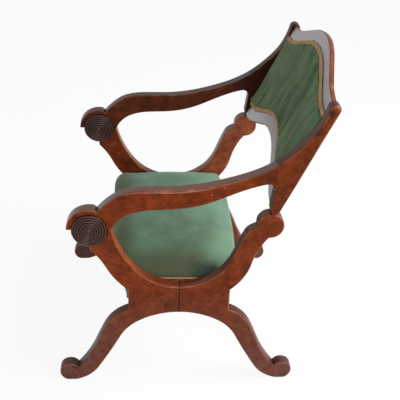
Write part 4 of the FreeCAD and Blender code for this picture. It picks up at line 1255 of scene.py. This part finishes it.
def plait_tree():
    """Flat plait along a path: each strand swings from side to side and passes over and under the others."""
    tree = bpy.data.node_groups.new("plait", "GeometryNodeTree")
    inputs = {"Path": "Geometry", "Half Width": "Float", "Rise": "Float", "Plait Length": "Float",
              "Strand Radius": "Float", "Step": "Float", "Out": "Vector", "Thread": "Material"}
    for label, kind in inputs.items():
        tree.interface.new_socket(label, in_out="INPUT", socket_type="NodeSocket" + kind)
    tree.interface.new_socket("Plait", in_out="OUTPUT", socket_type="NodeSocketGeometry")
    given = tree.nodes.new("NodeGroupInput").outputs

    def add(kind, **settings):
        return node(tree, kind, "GeometryNode", **settings)

    line = add("MeshToCurve", Mesh=given["Path"])
    even = add("ResampleCurve", mode="LENGTH", Curve=line.outputs[0], Length=given["Step"])
    along = add("SplineParameter").outputs["Length"]
    across = vectors(tree, "CROSS_PRODUCT", add("InputTangent").outputs[0], given["Out"])
    circle = add("CurvePrimitiveCircle", Resolution=THREAD_SIDES, Radius=given["Strand Radius"])
    joined = add("JoinGeometry")
    for strand in range(BRAID_STRANDS):
        cycle = maths(tree, "MULTIPLY_ADD", maths(tree, "DIVIDE", along, given["Plait Length"]), 2 * math.pi,
                      2 * math.pi * strand / BRAID_STRANDS)
        swing = maths(tree, "MULTIPLY", maths(tree, "SINE", cycle), given["Half Width"])
        over = maths(tree, "SINE", maths(tree, "MULTIPLY", cycle, BRAID_STRANDS - 1.0))
        lift = maths(tree, "MULTIPLY", over, given["Rise"])
        moved = vectors(tree, "ADD", vectors(tree, "SCALE", across, swing), vectors(tree, "SCALE", given["Out"], lift))
        shift = add("SetPosition", Geometry=even.outputs[0], Offset=moved)
        tube = add("CurveToMesh", Curve=shift.outputs[0], Profile_Curve=circle.outputs[0], Fill_Caps=True)
        tree.links.new(tube.outputs[0], joined.inputs[0])
    real = add("RealizeInstances", Geometry=joined.outputs[0])
    painted = add("SetMaterial", Geometry=real.outputs[0], Material=given["Thread"])
    tree.links.new(painted.outputs[0], tree.nodes.new("NodeGroupOutput").inputs["Plait"])
    return tree


def gold_thread(name):
    """Dull gold thread, twisted, darkened where the twist dips as painted shade."""
    material, tree, shader, place = new_material(name)
    twist = noisy(tree, place, 900.0, Detail=2.0)
    colour = mixed(tree, noisy(tree, place, 35.0, Detail=3.0), GOLD, FADED_GOLD)
    # Painted shade: the colour is darker where the twist dips, following the bump.
    colour = mixed(tree, 1.0, colour, ramp(tree, twist, (0.3, 0.6), (0.7, 1.15)), "MULTIPLY")
    fill_all(tree, shader, Base_Color=colour, Roughness=0.6, Normal=relief(tree, twist, 0.5, 0.0005))
    return material


PLAIT = plait_tree()
GOLD_THREAD = gold_thread("gold_thread")


def plaited(name, paths, out, sizes):
    """Plait along each path of points."""
    points, links = [], []
    for path in paths:
        links += [(len(points) + step, len(points) + step + 1) for step in range(len(path) - 1)]
        points += path
    mesh = bpy.data.meshes.new(name)
    mesh.from_pydata(points, links, [])
    piece = placed(name, mesh)
    braiding = piece.modifiers.new("plait", "NODES")
    braiding.node_group = PLAIT
    values = {**sizes, "Step": sizes["Plait Length"] / PLAIT_STEPS, "Out": out, "Thread": GOLD_THREAD}
    for socket in PLAIT.interface.items_tree:
        if socket.in_out == "INPUT" and socket.name in values:
            braiding[socket.identifier] = values[socket.name]
    finished(piece)
    piece.data.shade_smooth()
    return piece


def from_end_to_end(half, steps):
    """Even places from -half to half."""
    return [half * (2 * step / steps - 1) for step in range(steps + 1)]


for edge_name, (up, outwards) in BRAID_LINES.items():
    braid_name = edge_name + "_braid"
    tape = strip(braid_name + "_tape", BRAID_STEPS, up, lambda x, along: TAPE_HALF * (2 * along - 1), TAPE_OFF)
    thickened(tape, TAPE_THICK, -1)
    path = [on_back(x, up + crest(x), PLAIT_OFF) for x in from_end_to_end(BRAID_REACH, BRAID_STEPS)]
    braid = plaited(braid_name + "_plait", [path], BACK_OUT, BACK_PLAIT)
    bm = bmesh.new()
    bm.from_mesh(braid.data)
    bm.from_mesh(tape.data)
    bm.to_mesh(braid.data)
    bm.free()
    bpy.data.objects.remove(tape)
    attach(braid, "arms_and_back")
    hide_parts(braid_name)

seat_paths = [[Vector((x, MIDDLE_SEAM_Y + y, SEAT_BRAID_Z)) for y in from_end_to_end(SEAT_BRAID_HALF, SEAT_BRAID_STEPS)]
              for x in (-SEAT_BRAID_X, SEAT_BRAID_X)]
seat_plait = plaited("seat_braid_plait", seat_paths, (1, 0, 0), SEAT_PLAIT)
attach(seat_plait, "stand")
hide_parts("seat_braid")

# Studio
# A white floor and white surroundings, two soft lamps, a strong one high on the right of the view and a weaker one
# beside the camera, and the camera itself at eye height at the left side of the chair.

FLOOR_HALF = 8
FLOOR_PAINT = (0.9, 0.9, 0.9, 1)
FLOOR_SHOWN_WHITE = 0.9
WHITE = (1, 1, 1, 1)
ROOM_LIGHT = (0.96, 0.98, 1, 1)
ROOM_STRENGTH = 0.42


def shown(tree):
    """1 for the rays that show the background: straight to the camera, by gloss or through glass."""
    ray = node(tree, "LightPath").outputs
    seen = maths(tree, "MAXIMUM", ray["Is Camera Ray"], ray["Is Glossy Ray"])
    return maths(tree, "MAXIMUM", seen, ray["Is Transmission Ray"])


def either(tree, share, first, second):
    """Mix of two shaders."""
    made = node(tree, "MixShader", Fac=share)
    tree.links.new(first.outputs[0], made.inputs[1])
    tree.links.new(second.outputs[0], made.inputs[2])
    return made.outputs[0]


floor = sheet_piece("studio_floor", 1, 1, lambda u, v: (FLOOR_HALF * (2 * u - 1), FLOOR_HALF * (2 * v - 1), 0))
floor_paint = bpy.data.materials.new("white_floor")
floor_paint.use_nodes = True
floor_tree = floor_paint.node_tree
floor_tree.nodes.clear()
paint = node(floor_tree, "BsdfDiffuse", Color=FLOOR_PAINT)
white = node(floor_tree, "Emission", Color=WHITE, Strength=1.0)
share = maths(floor_tree, "MULTIPLY", shown(floor_tree), FLOOR_SHOWN_WHITE)
node(floor_tree, "OutputMaterial", Surface=either(floor_tree, share, paint, white))
floor.data.materials.append(floor_paint)

world = bpy.data.worlds.new("studio")
bpy.context.scene.world = world
world.use_nodes = True
world_tree = world.node_tree
world_tree.nodes.clear()
room = node(world_tree, "Background", Color=ROOM_LIGHT, Strength=ROOM_STRENGTH)
backdrop = node(world_tree, "Background", Color=WHITE, Strength=1.0)
node(world_tree, "OutputWorld", Surface=either(world_tree, shown(world_tree), room, backdrop))

LAMP_SIZE = 1.8
LAMP_AIM = Vector((0, 0, 0.4))
LAMPS = [("window_lamp", Vector((0.5, 2.4, 2.4)), 95), ("side_lamp", Vector((3.2, 0.5, 1.6)), 36)]

for lamp_name, place, power in LAMPS:
    lamp = bpy.data.lights.new(lamp_name, "AREA")
    lamp.shape = "DISK"
    lamp.size = LAMP_SIZE
    lamp.energy = power
    turned = (place - LAMP_AIM).to_track_quat("Z", "Y").to_matrix().to_4x4()
    placed(lamp_name, lamp).matrix_world = Matrix.Translation(place) @ turned

CAMERA_PLACE = Vector((2.01755, -0.14123, 1.50806))
CAMERA_AIM = Vector((0, 0.0289, 0.3658))
CAMERA_ROLL = math.radians(-2.66)
CAMERA_FOCUS = 859.2
VIEW_WIDTH = 400
SENSOR_WIDTH = 36.0

forward = (CAMERA_AIM - CAMERA_PLACE).normalized()
level = forward.cross(Vector((0, 0, 1))).normalized()
down = forward.cross(level)
right = level * math.cos(CAMERA_ROLL) + down * math.sin(CAMERA_ROLL)
lower = down * math.cos(CAMERA_ROLL) - level * math.sin(CAMERA_ROLL)
camera = bpy.data.cameras.new("camera")
camera.lens = CAMERA_FOCUS / VIEW_WIDTH * SENSOR_WIDTH
camera.sensor_width = SENSOR_WIDTH
camera.sensor_fit = "HORIZONTAL"
camera_object = placed("camera", camera)
turned = Matrix((right, -lower, -forward)).transposed().to_4x4()
camera_object.matrix_world = Matrix.Translation(CAMERA_PLACE) @ turned
bpy.context.scene.camera = camera_object
bpy.context.scene.view_settings.view_transform = "Standard"
